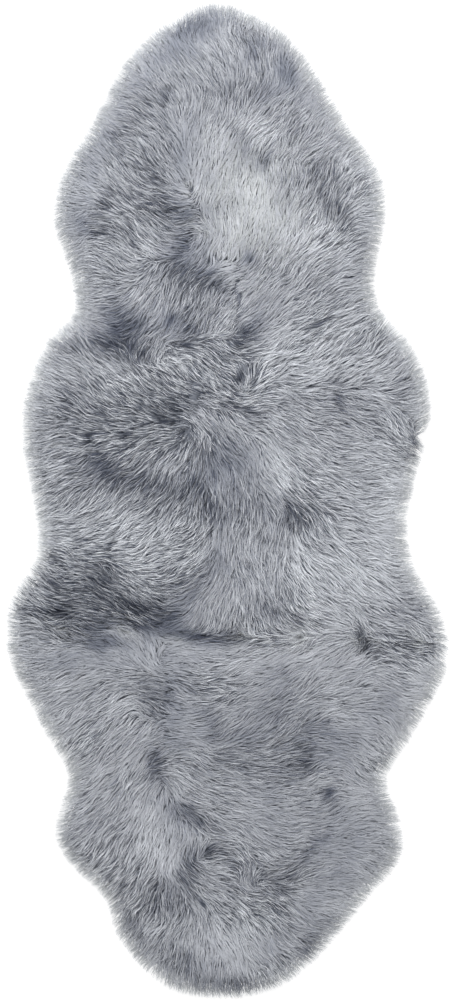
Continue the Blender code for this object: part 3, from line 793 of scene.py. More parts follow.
# Where the locks part and stand apart, above 0, or lie smooth, below 0. One step doubles it.
PARTED = patches([
    # at, x, y, long, wide, turn, much
    ("nape", -0.085, 0.828, 0.12, 0.035, 32, -1.9),
    ("nape, right", 0.046, 0.806, 0.066, 0.024, 39, -1.0),
    ("neck's right rim", 0.14, 0.755, 0.09, 0.028, -58, -1.4),
    ("neck, right", 0.096, 0.76, 0.076, 0.024, 40, -1.3),
    ("neck's left rim", -0.195, 0.725, 0.085, 0.022, 62, -0.9),
    ("light back", 0.021, 0.557, 0.1, 0.065, -63, -3.2),
    ("light back, right", 0.1, 0.53, 0.04, 0.03, 90, -1.2),
    ("light back's foot", 0.0, 0.441, 0.033, 0.03, -18, -3.6),
    ("left of the light back's foot", -0.049, 0.442, 0.082, 0.036, -4, -1.2),
    ("left edge of light back", -0.072, 0.61, 0.1, 0.022, 85, -2.4),
    ("left shoulder's rim", -0.262, 0.55, 0.13, 0.024, 75, -1.5),
    ("below the shoulders", 0.062, 0.341, 0.075, 0.048, -88, -1.2),
    ("left armpit", -0.202, 0.314, 0.073, 0.055, -70, -1.0),
    ("right armpit", 0.17, 0.329, 0.036, 0.026, 78, 1.2),
    ("below the left ribs", -0.097, 0.306, 0.07, 0.03, -9, -1.2),
    ("right armpit's rim", 0.27, 0.315, 0.024, 0.018, -57, 1.3),
    ("right side above the belly", 0.269, 0.301, 0.045, 0.04, -16, 0.6),
    ("below the light back, right", 0.076, 0.434, 0.04, 0.022, 88, 1.3),
    ("left shoulder blade", -0.165, 0.5, 0.08, 0.045, 73, 0.9),
    ("right shoulder", 0.233, 0.575, 0.035, 0.025, -10, 1.8),
    ("right leg", 0.205, 0.485, 0.035, 0.028, 32, 1.4),
    ("right side", 0.19, 0.24, 0.14, 0.13, 78, 0.25),
    ("right belly's rim", 0.312, 0.11, 0.045, 0.028, -67, 1.3),
    ("middle fold", 0.02, 0.23, 0.05, 0.035, -60, 2.7),
    ("left belly", -0.115, 0.174, 0.16, 0.085, 27, 2.8),
    ("light by belly whorl", -0.05, 0.168, 0.05, 0.03, -40, -2.2),
    ("left belly, lower rim", -0.238, 0.067, 0.03, 0.025, -38, -1.2),
    ("left belly's foot", -0.187, 0.05, 0.08, 0.033, -2, -1.0),
    ("left flank", -0.18, -0.08, 0.17, 0.13, 5, 0.4),
    ("mid flank", -0.07, -0.07, 0.05, 0.032, 82, 1.2),
    ("middle flank", -0.017, -0.113, 0.071, 0.028, 89, -1.0),
    ("lower belly, middle", -0.005, 0.051, 0.075, 0.046, 33, -1.1),
    ("right flank mark", 0.158, -0.014, 0.07, 0.043, -80, 1.2),
    ("right waist", 0.306, -0.061, 0.024, 0.016, -76, -1.3),
    ("left waist's rim", -0.325, 0.004, 0.055, 0.022, -64, 0.9),
    ("right rump", 0.13, -0.19, 0.075, 0.038, -77, 1.1),
    ("left rump", -0.25, -0.14, 0.13, 0.07, 3, 2.1),
    ("left rump, outer side", -0.315, -0.16, 0.06, 0.04, 50, 3.6),
    ("left rump, inner side", -0.16, -0.172, 0.05, 0.035, -13, 2.0),
    ("left rump, lower side", -0.222, -0.236, 0.05, 0.028, -44, -1.3),
    ("seam's first tuft", 0.252, -0.251, 0.028, 0.02, -28, 2.6),
    ("seam, middle", 0.07, -0.245, 0.09, 0.02, -7, 1.8),
    ("over the seam, left", -0.092, -0.214, 0.075, 0.03, 55, -1.8),
    ("seam's right tufts", 0.342, -0.268, 0.055, 0.03, -10, 2.8),
    ("below the seam, left", -0.225, -0.277, 0.085, 0.03, 11, -1.6),
    ("short pelt's left hip", -0.304, -0.297, 0.06, 0.032, -17, -0.9),
    ("below the seam, middle", -0.075, -0.273, 0.09, 0.03, 10, -2.0),
    ("below the seam, right", 0.13, -0.291, 0.09, 0.018, 7, -0.6),
    ("short rump, middle", -0.017, -0.338, 0.036, 0.026, -27, 1.7),
    ("short rump, left of the middle", -0.102, -0.314, 0.085, 0.03, -70, -1.2),
    ("short rump, right", 0.09, -0.315, 0.07, 0.045, 40, -1.0),
    ("short back, upper", 0.048, -0.413, 0.062, 0.03, 36, -1.0),
    ("short hip", 0.212, -0.311, 0.055, 0.036, -39, -1.2),
    ("short hip's inner side", 0.187, -0.436, 0.064, 0.036, -59, -1.0),
    ("short hip's rim", 0.288, -0.395, 0.085, 0.042, 32, -1.6),
    ("short waist's right rim", 0.28, -0.474, 0.075, 0.022, 68, 1.9),
    ("short flank, left", -0.074, -0.411, 0.067, 0.038, 16, -1.7),
    ("short flank's left rim", -0.26, -0.442, 0.046, 0.026, 32, 1.5),
    ("short shoulder, left", -0.13, -0.553, 0.11, 0.05, -58, -1.1),
    ("short shoulder, lower left", -0.105, -0.653, 0.08, 0.045, 79, -0.6),
    ("short foreleg's left rim", -0.254, -0.615, 0.083, 0.024, -61, -0.6),
    ("short shoulder, upper left", -0.175, -0.513, 0.03, 0.024, 47, 1.5),
    ("short back, middle", 0.084, -0.567, 0.068, 0.056, -59, -1.3),
    ("short shoulder's rim, left", -0.194, -0.691, 0.12, 0.036, -41, 1.6),
    ("short neck", 0.052, -0.753, 0.076, 0.04, 5, 1.6),
    ("short neck, lower middle", -0.006, -0.79, 0.08, 0.032, 74, -0.6),
    ("short neck, right", 0.159, -0.739, 0.058, 0.028, 56, -1.9),
    ("crown curl, right", 0.038, -0.647, 0.026, 0.018, 90, 1.3),
    ("short pelt's right side", 0.229, -0.6, 0.13, 0.063, 74, -1.6),
    ("short nape", -0.006, -0.84, 0.07, 0.045, 2, -1.0),
    ("short nape, right of the middle", 0.082, -0.814, 0.055, 0.027, -48, -1.0),
    ("short nape's right end", 0.087, -0.855, 0.05, 0.022, 21, 1.6),
])

# The deepest clefts, where the wool parts down to the roots, and how much painted shade darkens it there.
CLEFTS = patches([
    # at, x, y, long, wide, turn, much
    ("middle fold", 0.025, 0.225, 0.016, 0.009, 55, 0.75),
    ("middle fold, top", 0.017, 0.286, 0.011, 0.007, -82, 0.45),
    ("right of the middle fold", 0.047, 0.25, 0.016, 0.004, 80, 0.45),
    ("below the middle fold", 0.042, 0.162, 0.012, 0.004, -16, 0.5),
    ("middle fold, lower left", -0.074, 0.283, 0.013, 0.004, -4, 0.28),
    ("below the left ribs", -0.102, 0.326, 0.011, 0.005, 52, 0.55),
    ("left armpit", -0.203, 0.313, 0.013, 0.004, -57, 0.42),
    ("right armpit", 0.168, 0.32, 0.016, 0.0045, 26, 0.8),
    ("left shoulder", -0.17, 0.464, 0.009, 0.0045, -66, 0.4),
    ("neck, left", -0.112, 0.73, 0.012, 0.004, 86, 0.32),
    ("right belly's mark", 0.203, 0.185, 0.01, 0.004, -47, 0.45),
    ("right belly's rim", 0.34, 0.101, 0.015, 0.004, -84, 0.5),
    ("left belly whorl", -0.114, 0.142, 0.014, 0.0045, 5, 0.75),
    ("left belly whorl, outer", -0.182, 0.121, 0.016, 0.0045, 1, 0.9),
    ("left belly whorl, upper", -0.162, 0.169, 0.009, 0.0045, -19, 0.85),
    ("left belly, upper streak", -0.226, 0.156, 0.0135, 0.004, -9, 0.45),
    ("left belly's streak", -0.253, 0.117, 0.011, 0.0045, 0, 0.75),
    ("right flank's mark", 0.122, -0.024, 0.014, 0.004, 10, 0.36),
    ("left rump, upper", -0.31, -0.105, 0.009, 0.0045, -35, 0.65),
    ("left rump, outer", -0.315, -0.15, 0.012, 0.004, -37, 0.7),
    ("left rump, lower", -0.303, -0.201, 0.009, 0.004, -7, 0.45),
    ("left rump's rim", -0.362, -0.198, 0.018, 0.005, -4, 0.36),
    ("rump beside the seam, upper", -0.118, -0.196, 0.008, 0.0045, -15, 0.75),
    ("rump beside the seam", -0.157, -0.229, 0.013, 0.004, -8, 0.45),
    ("over the seam, right", 0.13, -0.219, 0.013, 0.006, 90, 0.45),
    ("seam, left of the middle", -0.051, -0.246, 0.018, 0.005, 0, 0.34),
    ("seam's first tuft", 0.241, -0.246, 0.014, 0.007, 85, 0.33),
    ("seam's right tufts", 0.341, -0.256, 0.018, 0.0045, -18, 0.6),
    ("short shoulder's fold", -0.049, -0.583, 0.01, 0.006, -62, 0.28),
    ("short flank, right", 0.185, -0.529, 0.0095, 0.0045, 67, 0.45),
    ("crown curl", -0.03, -0.634, 0.013, 0.004, 18, 0.24),
    ("below the crown curl", -0.044, -0.729, 0.008, 0.004, -45, 0.65),
    ("short nape's right rim", 0.144, -0.818, 0.012, 0.006, 31, 0.4),
])

# Where the wool took less of the dye, apart from the rim: share of the fibres.
PALE = patches([
    # at, x, y, long, wide, turn, much
    ("light back", 0.035, 0.54, 0.1, 0.085, 100, 0.8),
])

LOCK_EVERY = 0.0058  # from lock to lock
LONG_FIBRES = 118000
FIBRE_LENGTH = 0.044
FIBRE_WIDTH = 0.0012
STATIONS = np.array([0, 0.24, 0.5, 0.76, 1.0])  # points of a fibre, from root to tip
TAPER = np.array([0.7, 1.0, 0.95, 0.65, 0.0])
JUDGED_AT = 3  # the station at which a fibre takes after its place
STEPS = 12  # of a lock's path
SEED = 8
TINY = 1e-9  # keeps a direction without a length from failing

rng = np.random.default_rng(SEED)


def fade(distance, reach):
    """A share that is 1 at no distance and dies out over that reach."""
    return np.exp(-distance / reach)


def closeness(distance, reach):
    """A share that is 1 at no distance and 0 from that reach on."""
    return np.clip(1 - distance / reach, 0, 1)


LIE_REACH = 0.018  # how far each way of the table above spreads
LIE_WEIGHT_FAR = 1e-12  # what it weighs far away
LIE_SIZE_LEAST = 1e-15  # keeps places where ways cancel each other out from failing


def lie_weight(x, y):
    """Map of what one way of the table weighs at each place."""
    away2 = (map_x[None, :] - x) ** 2 + (map_y[:, None] - y) ** 2
    return np.exp(-away2 / (2 * LIE_REACH**2)) + LIE_WEIGHT_FAR


def lie_maps():
    """Maps of the wool's lie as an undirected line (x and y share), and of how surely it points along it."""
    ways = [(x, band["y"], math.radians(way)) for band in LIE for x, way in band["ways"].items()]
    double_x, double_y, sense, total = np.zeros((4, len(map_y), len(map_x)))
    for x, y, way in ways:
        weight = lie_weight(x, y)
        double_x += weight * math.cos(2 * way)
        double_y += weight * math.sin(2 * way)
    line = np.arctan2(double_y, double_x) / 2
    for x, y, way in ways:
        weight = lie_weight(x, y)
        sense += weight * np.cos(way - line)
        total += weight
    size = np.hypot(double_x, double_y) + LIE_SIZE_LEAST
    return double_x / size, double_y / size, np.cos(line) * sense / total, np.sin(line) * sense / total


line_x, line_y, pull_x, pull_y = lie_maps()
slope_y, slope_x = np.gradient(edge_distance, MAP_STEP)

PATCH_EDGE = 1.2  # 1 gives a patch its softest edge, more a crisper one
PATCH_SWAY = 0.006  # how far the edges of patches sway
PATCH_SWAY_SIZE = 0.03
STANDING = 0.92  # how much locks stand apart where no patch says otherwise
STANDING_ENDS = (0.15, 4.5)  # from sleek to parted down to the roots
DEPTH_OUTSIDE = 0.006  # of the wool past the rug's edge, where it thins out over the floor
DEPTH_OUTSIDE_REACH = 0.012


def patches_at(table, x, y):
    """What the patches of a table add up to at each place."""
    total = np.zeros_like(x)
    for patch in table:
        turn = math.radians(patch.turn)
        dx, dy = x - patch.x, y - patch.y
        along = (dx * math.cos(turn) + dy * math.sin(turn)) / patch.long
        across = (dy * math.cos(turn) - dx * math.sin(turn)) / patch.wide
        total += patch.much * np.exp(-((along**2 + across**2) ** PATCH_EDGE))
    return total


def patch_map(table):
    """Map of what the patches of a table add up to, with swaying edges."""
    grid_x, grid_y = np.meshgrid(map_x, map_y)
    sway_x = PATCH_SWAY * soft_noise(grid_x, grid_y, PATCH_SWAY_SIZE, seed=41)
    sway_y = PATCH_SWAY * soft_noise(grid_x + sway_x, grid_y, PATCH_SWAY_SIZE, seed=42)
    return patches_at(table, grid_x + sway_x, grid_y + sway_y)


shade_map = patch_map(SHADES)
standing_map = np.clip(STANDING * 2 ** patch_map(PARTED), *STANDING_ENDS)
pale_map = patch_map(PALE)
past_edge = np.maximum(-edge_distance, 0)
lock_depth = np.where(wool_depth > 0, wool_depth, DEPTH_OUTSIDE * fade(past_edge, DEPTH_OUTSIDE_REACH))

COMBED_OUT = 0.9  # how far the wool at the rim is turned outwards
COMBED_OUT_REACH = 0.04
LENGTH_SHARES = (0.85, 1.1)
LOCK_DRIFT = 0.07  # steady turn of single locks, in radians, as are the turns below
LOCK_BEND = 0.30  # of single locks, from root to tip
TIPS_CURL = 0.9  # of neighbouring locks together
TIPS_CURL_SIZE = 0.028
BEND_FROM = 0.4  # of a lock's path: before this point it bends the other way
LOCK_DOUBT = 0.5  # how easily a lock falls to the other side of a parting
SWAYS = [
    {"size": 0.026, "much": 0.30, "seed": 21},
    {"size": 0.011, "much": 0.26, "seed": 22},
]
RIM_CALM = 0.6  # share of all those turns that is missing at the rim
RIM_CALM_REACH = 0.015


def turned(x, y, angle):
    """Directions turned by an angle in radians."""
    return x * np.cos(angle) - y * np.sin(angle), x * np.sin(angle) + y * np.cos(angle)


def lie_at(x, y, near_x, near_y):
    """The way the wool points at a place, on the side of the line that is nearer to a given way."""
    line = np.arctan2(at(line_y, x, y), at(line_x, x, y)) / 2
    way_x, way_y = np.cos(line), np.sin(line)
    side = np.where(way_x * near_x + way_y * near_y < 0, -1, 1)
    out = COMBED_OUT * closeness(at(edge_distance, x, y), COMBED_OUT_REACH)
    way_x = way_x * side - out * at(slope_x, x, y)
    way_y = way_y * side - out * at(slope_y, x, y)
    size = np.hypot(way_x, way_y) + TINY
    return way_x / size, way_y / size


def plant_locks():
    """The path of each lock over the rug, from its root out to its own length."""
    columns = np.arange(map_x[0], map_x[-1], LOCK_EVERY)
    rows = np.arange(map_y[0], map_y[-1], LOCK_EVERY)
    x, y = np.meshgrid(columns, rows)
    x = x + rng.uniform(0, LOCK_EVERY, x.shape)
    y = y + rng.uniform(0, LOCK_EVERY, y.shape)
    length = FIBRE_LENGTH * rng.uniform(*LENGTH_SHARES, x.shape)
    drift = rng.normal(0, LOCK_DRIFT, x.shape)
    bend = rng.normal(0, LOCK_BEND, x.shape) + TIPS_CURL * soft_noise(x, y, TIPS_CURL_SIZE, seed=23)
    # Where the wool parts, neighbouring locks fall to either side of the line.
    wish_x, wish_y = at(pull_x, x, y), at(pull_y, x, y)
    line = np.arctan2(at(line_y, x, y), at(line_x, x, y)) / 2
    doubt = rng.normal(0, LOCK_DOUBT, x.shape)
    way_x, way_y = wish_x + doubt * np.cos(line), wish_y + doubt * np.sin(line)
    path = [np.stack([x, y], -1)]
    for k in range(STEPS):
        t = (k + 0.5) / STEPS
        way_x, way_y = lie_at(x, y, way_x, way_y)
        turn = add_noises(0, SWAYS, x, y) + drift + bend * (t - BEND_FROM)
        turn *= 1 - RIM_CALM * fade(np.maximum(at(edge_distance, x, y), 0), RIM_CALM_REACH)
        step_x, step_y = turned(way_x, way_y, turn)
        x = x + step_x * length / STEPS
        y = y + step_y * length / STEPS
        path.append(np.stack([x, y], -1))
    return np.stack(path, 2)


LAYER_LOWEST = 0.85  # how high a lock lies, as a share of the wool's depth
LAYER_SPREAD = 0.15
LAYER_POWER = 0.7  # less than 1 puts more locks in the upper layers
LOCK_TONE_STRAY = 0.022
LOCK_ROLL_STRAY = 0.12  # in radians
LOCK_OVERHANGS = (-0.002, 0.001)

lock_paths = plant_locks()
lock_roots = lock_paths[:, :, 0]
lock_shape = lock_roots.shape[:2]
lock_layer = LAYER_LOWEST + LAYER_SPREAD * rng.uniform(0, 1, lock_shape) ** LAYER_POWER
lock_tone = rng.normal(0, LOCK_TONE_STRAY, lock_shape)
lock_roll = rng.normal(0, LOCK_ROLL_STRAY, lock_shape)
lock_phase = rng.uniform(0, 2 * math.pi, lock_shape)
lock_over = rng.uniform(*LOCK_OVERHANGS, lock_shape)


def nearest_lock(x, y):
    """Row and column of the lock whose root is nearest to each place."""
    column = ((x - map_x[0]) / LOCK_EVERY).astype(int)
    row = ((y - map_y[0]) / LOCK_EVERY).astype(int)
    best = np.full(x.shape, np.inf)
    best_row, best_column = row.copy(), column.copy()
    for step_row in (-1, 0, 1):
        for step_column in (-1, 0, 1):
            r = np.clip(row + step_row, 0, lock_shape[0] - 1)
            c = np.clip(column + step_column, 0, lock_shape[1] - 1)
            away = np.hypot(lock_roots[r, c, 0] - x, lock_roots[r, c, 1] - y)
            nearer = away < best
            best = np.where(nearer, away, best)
            best_row = np.where(nearer, r, best_row)
            best_column = np.where(nearer, c, best_column)
    return best_row, best_column


ROOT_STRAY = 0.0035  # how far past its own lock a fibre may join another
BOW = 1.35  # more than 1 lets the stations crowd at the root
RIM_WIDTH = 0.03  # in which locks grow looser and fibres finer
GATHER = (0.1, 0.4)  # how far the tips of a lock draw together
LOOSE = 0.0022  # how far a single tip strays
LOOSE_AT_RIM = 0.8  # and how much further at the rim
LOOSE_POWER = 1.5
WAVE_HEIGHT = 0.0016
WAVE_TURNS = 1.1  # along a fibre
WAVE_STRAY = 0.5  # of single fibres, in radians


def lay_fibres(roots, run):
    """Flat path of each fibre, its lock, its root's place in the lock, and how near its tip is to the rim."""
    count = len(roots)
    strays = rng.normal(0, ROOT_STRAY, (count, 2))
    lock = nearest_lock(roots[:, 0] + strays[:, 0], roots[:, 1] + strays[:, 1])
    t = STATIONS[None, :]
    reach = run[:, None] * t**BOW * STEPS
    step = np.minimum(reach.astype(int), STEPS - 1)
    part = (reach - step)[..., None]
    path = lock_paths[lock]
    pick = np.arange(count)[:, None]
    centre = path[pick, step] * (1 - part) + path[pick, step + 1] * part
    offset = roots - lock_roots[lock]
    # Locks lie looser towards the rim.
    tip = centre[:, -1] + offset
    rim = closeness(at(edge_distance, tip[:, 0], tip[:, 1]), RIM_WIDTH)
    gather = 1 - (rng.uniform(*GATHER, count) * (1 - rim))[:, None] * t
    loose = rng.normal(0, LOOSE, (count, 2)) * (1 + LOOSE_AT_RIM * rim)[:, None]
    flat = centre + offset[:, None] * gather[..., None] + loose[:, None] * (t**LOOSE_POWER)[..., None]
    # Slow waves from side to side, nearly the same in a whole lock.
    ahead = np.gradient(flat, axis=1)
    ahead /= np.linalg.norm(ahead, axis=2, keepdims=True) + TINY
    side = np.stack([-ahead[..., 1], ahead[..., 0]], -1)
    phase = lock_phase[lock][:, None] + rng.normal(0, WAVE_STRAY, count)[:, None]
    wave = WAVE_HEIGHT * run[:, None] * np.sin(phase + 2 * math.pi * WAVE_TURNS * t) * t
    return flat + side * wave[..., None], lock, offset, rim


OVERHANG = 0.0112  # how far tips may reach past the rug's edge
OVERHANG_BY_LOCK = 0.3  # share of its lock's own overhang that a fibre takes on
OVERHANG_LESS = 0.005  # how far a fibre may fall short of it
OVERHANG_STRAY = 0.001  # and a few reach further
OVERHANG_ROUNDS = 3
FRINGE = 0.0015  # how far the long pelt's wool reaches past the seam
FRINGE_STRAY = 0.0015
SHORTEST_AT_RIM = 0.3  # share of its length that a fibre keeps at least
SHORTEST_AT_SEAM = 0.25
LENGTH_LEAST = 1e-6


def shorten(flat, share):
    """Flat paths of fibres, each drawn back towards its root to that share of its length."""
    return flat[:, :1] + (flat - flat[:, :1]) * share[:, None, None]


def trim(roots, flat, lock):
    """Flat paths of fibres that end soon past the rug's edge, and soon past the seam."""
    count = len(roots)
    over = OVERHANG_BY_LOCK * lock_over[lock] + OVERHANG
    over = over - rng.uniform(0, OVERHANG_LESS, count) + rng.exponential(OVERHANG_STRAY, count)
    root_inset = at(edge_distance, roots[:, 0], roots[:, 1])
    for _ in range(OVERHANG_ROUNDS):
        inset = at(edge_distance, flat[:, -1, 0], flat[:, -1, 1])
        share = (root_inset + over) / np.maximum(root_inset - inset, LENGTH_LEAST)
        flat = shorten(flat, np.where(inset < -over, np.clip(share, SHORTEST_AT_RIM, 1), 1))
    # The long pelt's wool hangs over the seam and ends just past it in a fringe.
    before = roots[:, 1] - seam_y - seam_slope * roots[:, 0]
    past = seam_y + seam_slope * flat[:, -1, 0] - flat[:, -1, 1]
    most = rng.normal(FRINGE, FRINGE_STRAY, count)
    share = np.clip((before + most) / np.maximum(before + past, LENGTH_LEAST), SHORTEST_AT_SEAM, 1)
    return shorten(flat, np.where((before > 0) & (past > most), share, 1))


STANDING_LESS_AT_RIM = 0.35  # locks at the rim lie closer together
STANDING_LESS_REACH = 0.02
DARKEST = 0.5  # of the darker patches, as far as they make locks stand apart
DARK_DOUBLINGS = 3  # of standing, over a tone of 1
LAYER_MIDDLE = 0.93  # share of the wool's depth at which sleek locks lie
LAYER_STRAY = 0.04  # of single fibres
LAYER_STANDING_MOST = 1.5  # standing locks lie at more uneven heights, up to here
SHORT_RUN = 0.5  # fibres that run less far are the short ones between the locks
SHORT_LAYER = 0.95  # and lie this much deeper
ROUNDING = 0.0022  # how far a fibre at the side of a lock lies under the lock's top
ROUNDING_ENDS = (0.35, 1)
ROUNDING_MOST = 0.004
SIDE_POWER = 1.5
RISE_POWER = 3  # more lets fibres rise sooner from the skin
RISE_ENDS = (0.4, 1.6)  # of standing, as far as it changes the rise
RISE_FLATTER = -0.6  # where locks stand apart they rise later
TOP_LEAST = 0.001  # height of the wool's top at least
HEIGHT_LEAST = 0.0008  # and of any point of a fibre


def standing_at(flat, from_rim):
    """How far apart the locks stand where each fibre lies, and how dark the wool is there."""
    x, y = flat[:, JUDGED_AT, 0], flat[:, JUDGED_AT, 1]
    standing = at(standing_map, x, y)
    standing = standing * (1 - STANDING_LESS_AT_RIM * fade(from_rim[:, JUDGED_AT], STANDING_LESS_REACH))
    dark = np.clip(-at(shade_map, x, y), 0, DARKEST)
    return standing * 2 ** (DARK_DOUBLINGS * dark), dark


def heights(flat, run, lock, aside, standing):
    """Height of each fibre at its stations: up from the skin, over, and flat along the wool's top."""
    t = STATIONS[None, :]
    own_layer = lock_layer[lock] - LAYER_MIDDLE + rng.normal(0, LAYER_STRAY, len(flat))
    layer = LAYER_MIDDLE + np.minimum(standing, LAYER_STANDING_MOST) * own_layer
    layer = np.where(run < SHORT_RUN, layer * SHORT_LAYER, layer)[:, None]
    rounding = np.minimum(ROUNDING * np.clip(standing, *ROUNDING_ENDS) * aside, ROUNDING_MOST)
    rise = 1 - (1 - t) ** (RISE_POWER * np.clip(standing, *RISE_ENDS) ** RISE_FLATTER)[:, None]
    start = SKIN_LIFT + SKIN_THICKNESS
    top = at(lock_depth, flat[..., 0], flat[..., 1]) * layer - rounding[:, None] * t
    return np.maximum(start + (np.maximum(top, TOP_LEAST) - start) * rise, HEIGHT_LEAST)


PLAIN_TONE = 0.555  # where no patch says otherwise, from 0 darkest to 1 lightest
TONE_ENDS = (0.02, 0.98)
OWN_TONE = 0.028  # of single fibres
OWN_TONE_STRAY = 0.064
DEEP_TONE = 0.26  # how much darker some are: own tone, and painted shade for dark lines between strands
DEEP_SHARE = 0.14  # and how many
LIGHT_STANDING_MOST = 3.4  # standing locks differ more, up to here in their light fibres
DARK_STANDING_MOST = 4  # and up to here in their dark ones
SIDE_SHADE = 0.07  # painted shade: how much darker a fibre at the side of a standing lock is
SIDE_MIDDLE = 0.7  # how far aside a fibre is that grows neither darker nor lighter
SIDE_MOST = 1.6
SIDE_STANDING_MOST = 3.5
LIGHT_STANDING = 0.15  # tone that standing locks gain with each doubling
LIGHT_LYING = 0.1  # and that sleek ones lose with each halving
STANDING_TONE_ENDS = (-0.15, 0.33)
MOTTLES = [
    {"size": 0.02, "much": 0.04, "seed": 31},
    {"size": 0.05, "much": 0.04, "seed": 32},
]
# Painted light at the rim: how much lighter the fibres there are, and over which distance, as if lit through.
RIM_GLOW = 0.10
RIM_GLOW_REACH = 0.034
TIPS_GLOW = 0.02  # painted glow of the outermost tips
TIPS_GLOW_REACH = 0.007


def tones(flat, lock, aside, from_rim, standing, dark):
    """Tone of each fibre at its stations: the place's, the lock's and its own, with painted shade and rim
    glow.
    """
    x, y = flat[..., 0], flat[..., 1]
    count = len(flat)
    own = rng.normal(OWN_TONE, OWN_TONE_STRAY, count) - DEEP_TONE * (rng.uniform(0, 1, count) < DEEP_SHARE)
    own += lock_tone[lock]
    most = np.where(own > 0, LIGHT_STANDING_MOST, DARK_STANDING_MOST)
    own *= np.minimum(standing, most) * (1 + dark)
    # Where locks stand apart, the fibres at their sides lie deep between them, in painted shade.
    side = SIDE_SHADE * (np.minimum(aside, SIDE_MOST) - SIDE_MIDDLE)
    own -= side * np.clip(standing - 1, 0, SIDE_STANDING_MOST)
    tone = PLAIN_TONE + at(shade_map, x, y) + own[:, None]
    # Standing locks are painted lighter and sleek ones darker, to even out how far up their roots' painted
    # shade reaches.
    doubling = np.where(standing > 1, LIGHT_STANDING, LIGHT_LYING)
    tone += np.clip(doubling * np.log2(standing), *STANDING_TONE_ENDS)[:, None]
    # Painted shade in the deepest clefts.
    tone -= patches_at(CLEFTS, x, y)
    tone += add_noises(0, MOTTLES, x, y)
    # Painted light: the fibres nearest the rim glow as if lit through their thin tips.
    tone += RIM_GLOW * fade(from_rim, RIM_GLOW_REACH) + TIPS_GLOW * fade(from_rim, TIPS_GLOW_REACH)
    return np.clip(tone, *TONE_ENDS)


WIDTH_SHARES = (0.7, 1.3)
NARROWER_AT_RIM = 0.5
ROLL_STRAY = 0.45  # of single fibres about their own length, in radians
ROLL_STANDING_MOST = 1.6  # standing locks roll more, up to here
SHADING_POWER = 0.7  # standing locks are in their roots' shade further up
PALE_AT_RIM = 0.9  # share of the outermost fibres with the pale tint, part of the rim's painted glow
PALE_REACH = 0.006


def grow(roots, run):
    """Each fibre's points, width, roll, tone, painted root shade and pale tint; run is its share of its lock.
    """
    count = len(roots)
    flat, lock, offset, rim = lay_fibres(roots, run)
    flat = trim(roots, flat, lock)
    from_rim = np.maximum(at(edge_distance, flat[..., 0], flat[..., 1]), 0)
    standing, dark = standing_at(flat, from_rim)
    # How far each fibre is from the middle of its lock, 1 at the lock's edge.
    aside = (np.linalg.norm(offset, axis=1) / (0.5 * LOCK_EVERY)) ** SIDE_POWER
    points = np.dstack([flat, heights(flat, run, lock, aside, standing)])
    width = (FIBRE_WIDTH * rng.uniform(*WIDTH_SHARES, count) * (1 - NARROWER_AT_RIM * rim))[:, None] * TAPER
    tone = tones(flat, lock, aside, from_rim, standing, dark)
    own_roll = lock_roll[lock] + rng.normal(0, ROLL_STRAY, count)
    roll = np.minimum(standing, ROLL_STANDING_MOST) * own_roll
    # Where the locks lie smooth their roots are hidden, so the shade of the roots starts further down.
    apart = standing[:, None]
    deeper = STATIONS ** np.maximum(apart, 1) ** SHADING_POWER
    shading = np.where(apart > 1, deeper, 1 - np.minimum(apart, 1) * (1 - STATIONS))
    # The pale tint at the rim is part of its painted glow.
    chance = PALE_AT_RIM * fade(from_rim[:, JUDGED_AT], PALE_REACH)
    chance += at(pale_map, flat[:, JUDGED_AT, 0], flat[:, JUDGED_AT, 1])
    return points, width, roll, tone, shading, rng.uniform(0, 1, count) < chance


ROOT_INSET = 0.012  # the outermost roots, from the wool's tips
CANDIDATES = 1.8  # for each fibre that stays
CHOICE_ROUNDS = 4  # each of which evens out the cover a little more
AIM_INSET = 0.04  # the cover aimed at is that of the wool this far in
LEVEL_INSET = 0.03  # nearer to the edge the cover counts as even
COVER_LEAST = 0.05
WEIGHT_ENDS = (0.3, 4)  # how much likelier a fibre stays where the cover is thin
WEIGHT_POWER = 1.5
MORE_AT_RIM = 0.6  # and how much likelier if its tip is at the rim
MORE_AT_RIM_REACH = 0.02
LONG_RUN = (0.72, 1.0)  # share of a lock's length that a long fibre follows
FILLING_FIBRES = 7000  # short ones, in each round, where the locks part and the roots show
FILLING_ROUNDS = 2
FILLING_COVER = 0.9  # share of the even cover below which a place is thin
FILLING_INSET = 0.010
FILLING_BACK = 0.8  # share of a lock's first two steps by which they are rooted before the thin place
FILLING_RUN = (0.25, 0.45)


def scatter_roots(count):
    """Places of that many roots, spread evenly over the pelts."""
    kept = np.zeros((0, 2))
    while len(kept) < count:
        x = rng.uniform(cad_box[0].x, cad_box[1].x, count)
        y = rng.uniform(cad_box[0].y, cad_box[1].y, count)
        kept = np.vstack([kept, np.stack([x, y], 1)[at(edge_distance, x, y) > ROOT_INSET]])
    return kept[:count]


def cover_of(points, width):
    """Map of how many fibres lie over each place, roots left out."""
    middles = (points[:, 1:] + points[:, :-1])[:, 1:] / 2
    lengths = np.linalg.norm(np.diff(points[:, 1:, :2], axis=1), axis=2)
    areas = lengths * (width[:, 1:-1] + width[:, 2:]) / 2
    column = np.clip(np.round((middles[..., 0] - map_x[0]) / MAP_STEP).astype(int), 0, len(map_x) - 1)
    row = np.clip(np.round((middles[..., 1] - map_y[0]) / MAP_STEP).astype(int), 0, len(map_y) - 1)
    cells = np.bincount((row * len(map_x) + column).ravel(), areas.ravel(), len(map_x) * len(map_y))
    cover = cells.reshape(len(map_y), len(map_x)) / MAP_STEP**2
    for axis in (0, 1):
        cover = (np.roll(cover, 1, axis) + 2 * cover + np.roll(cover, -1, axis)) / 4
    return cover


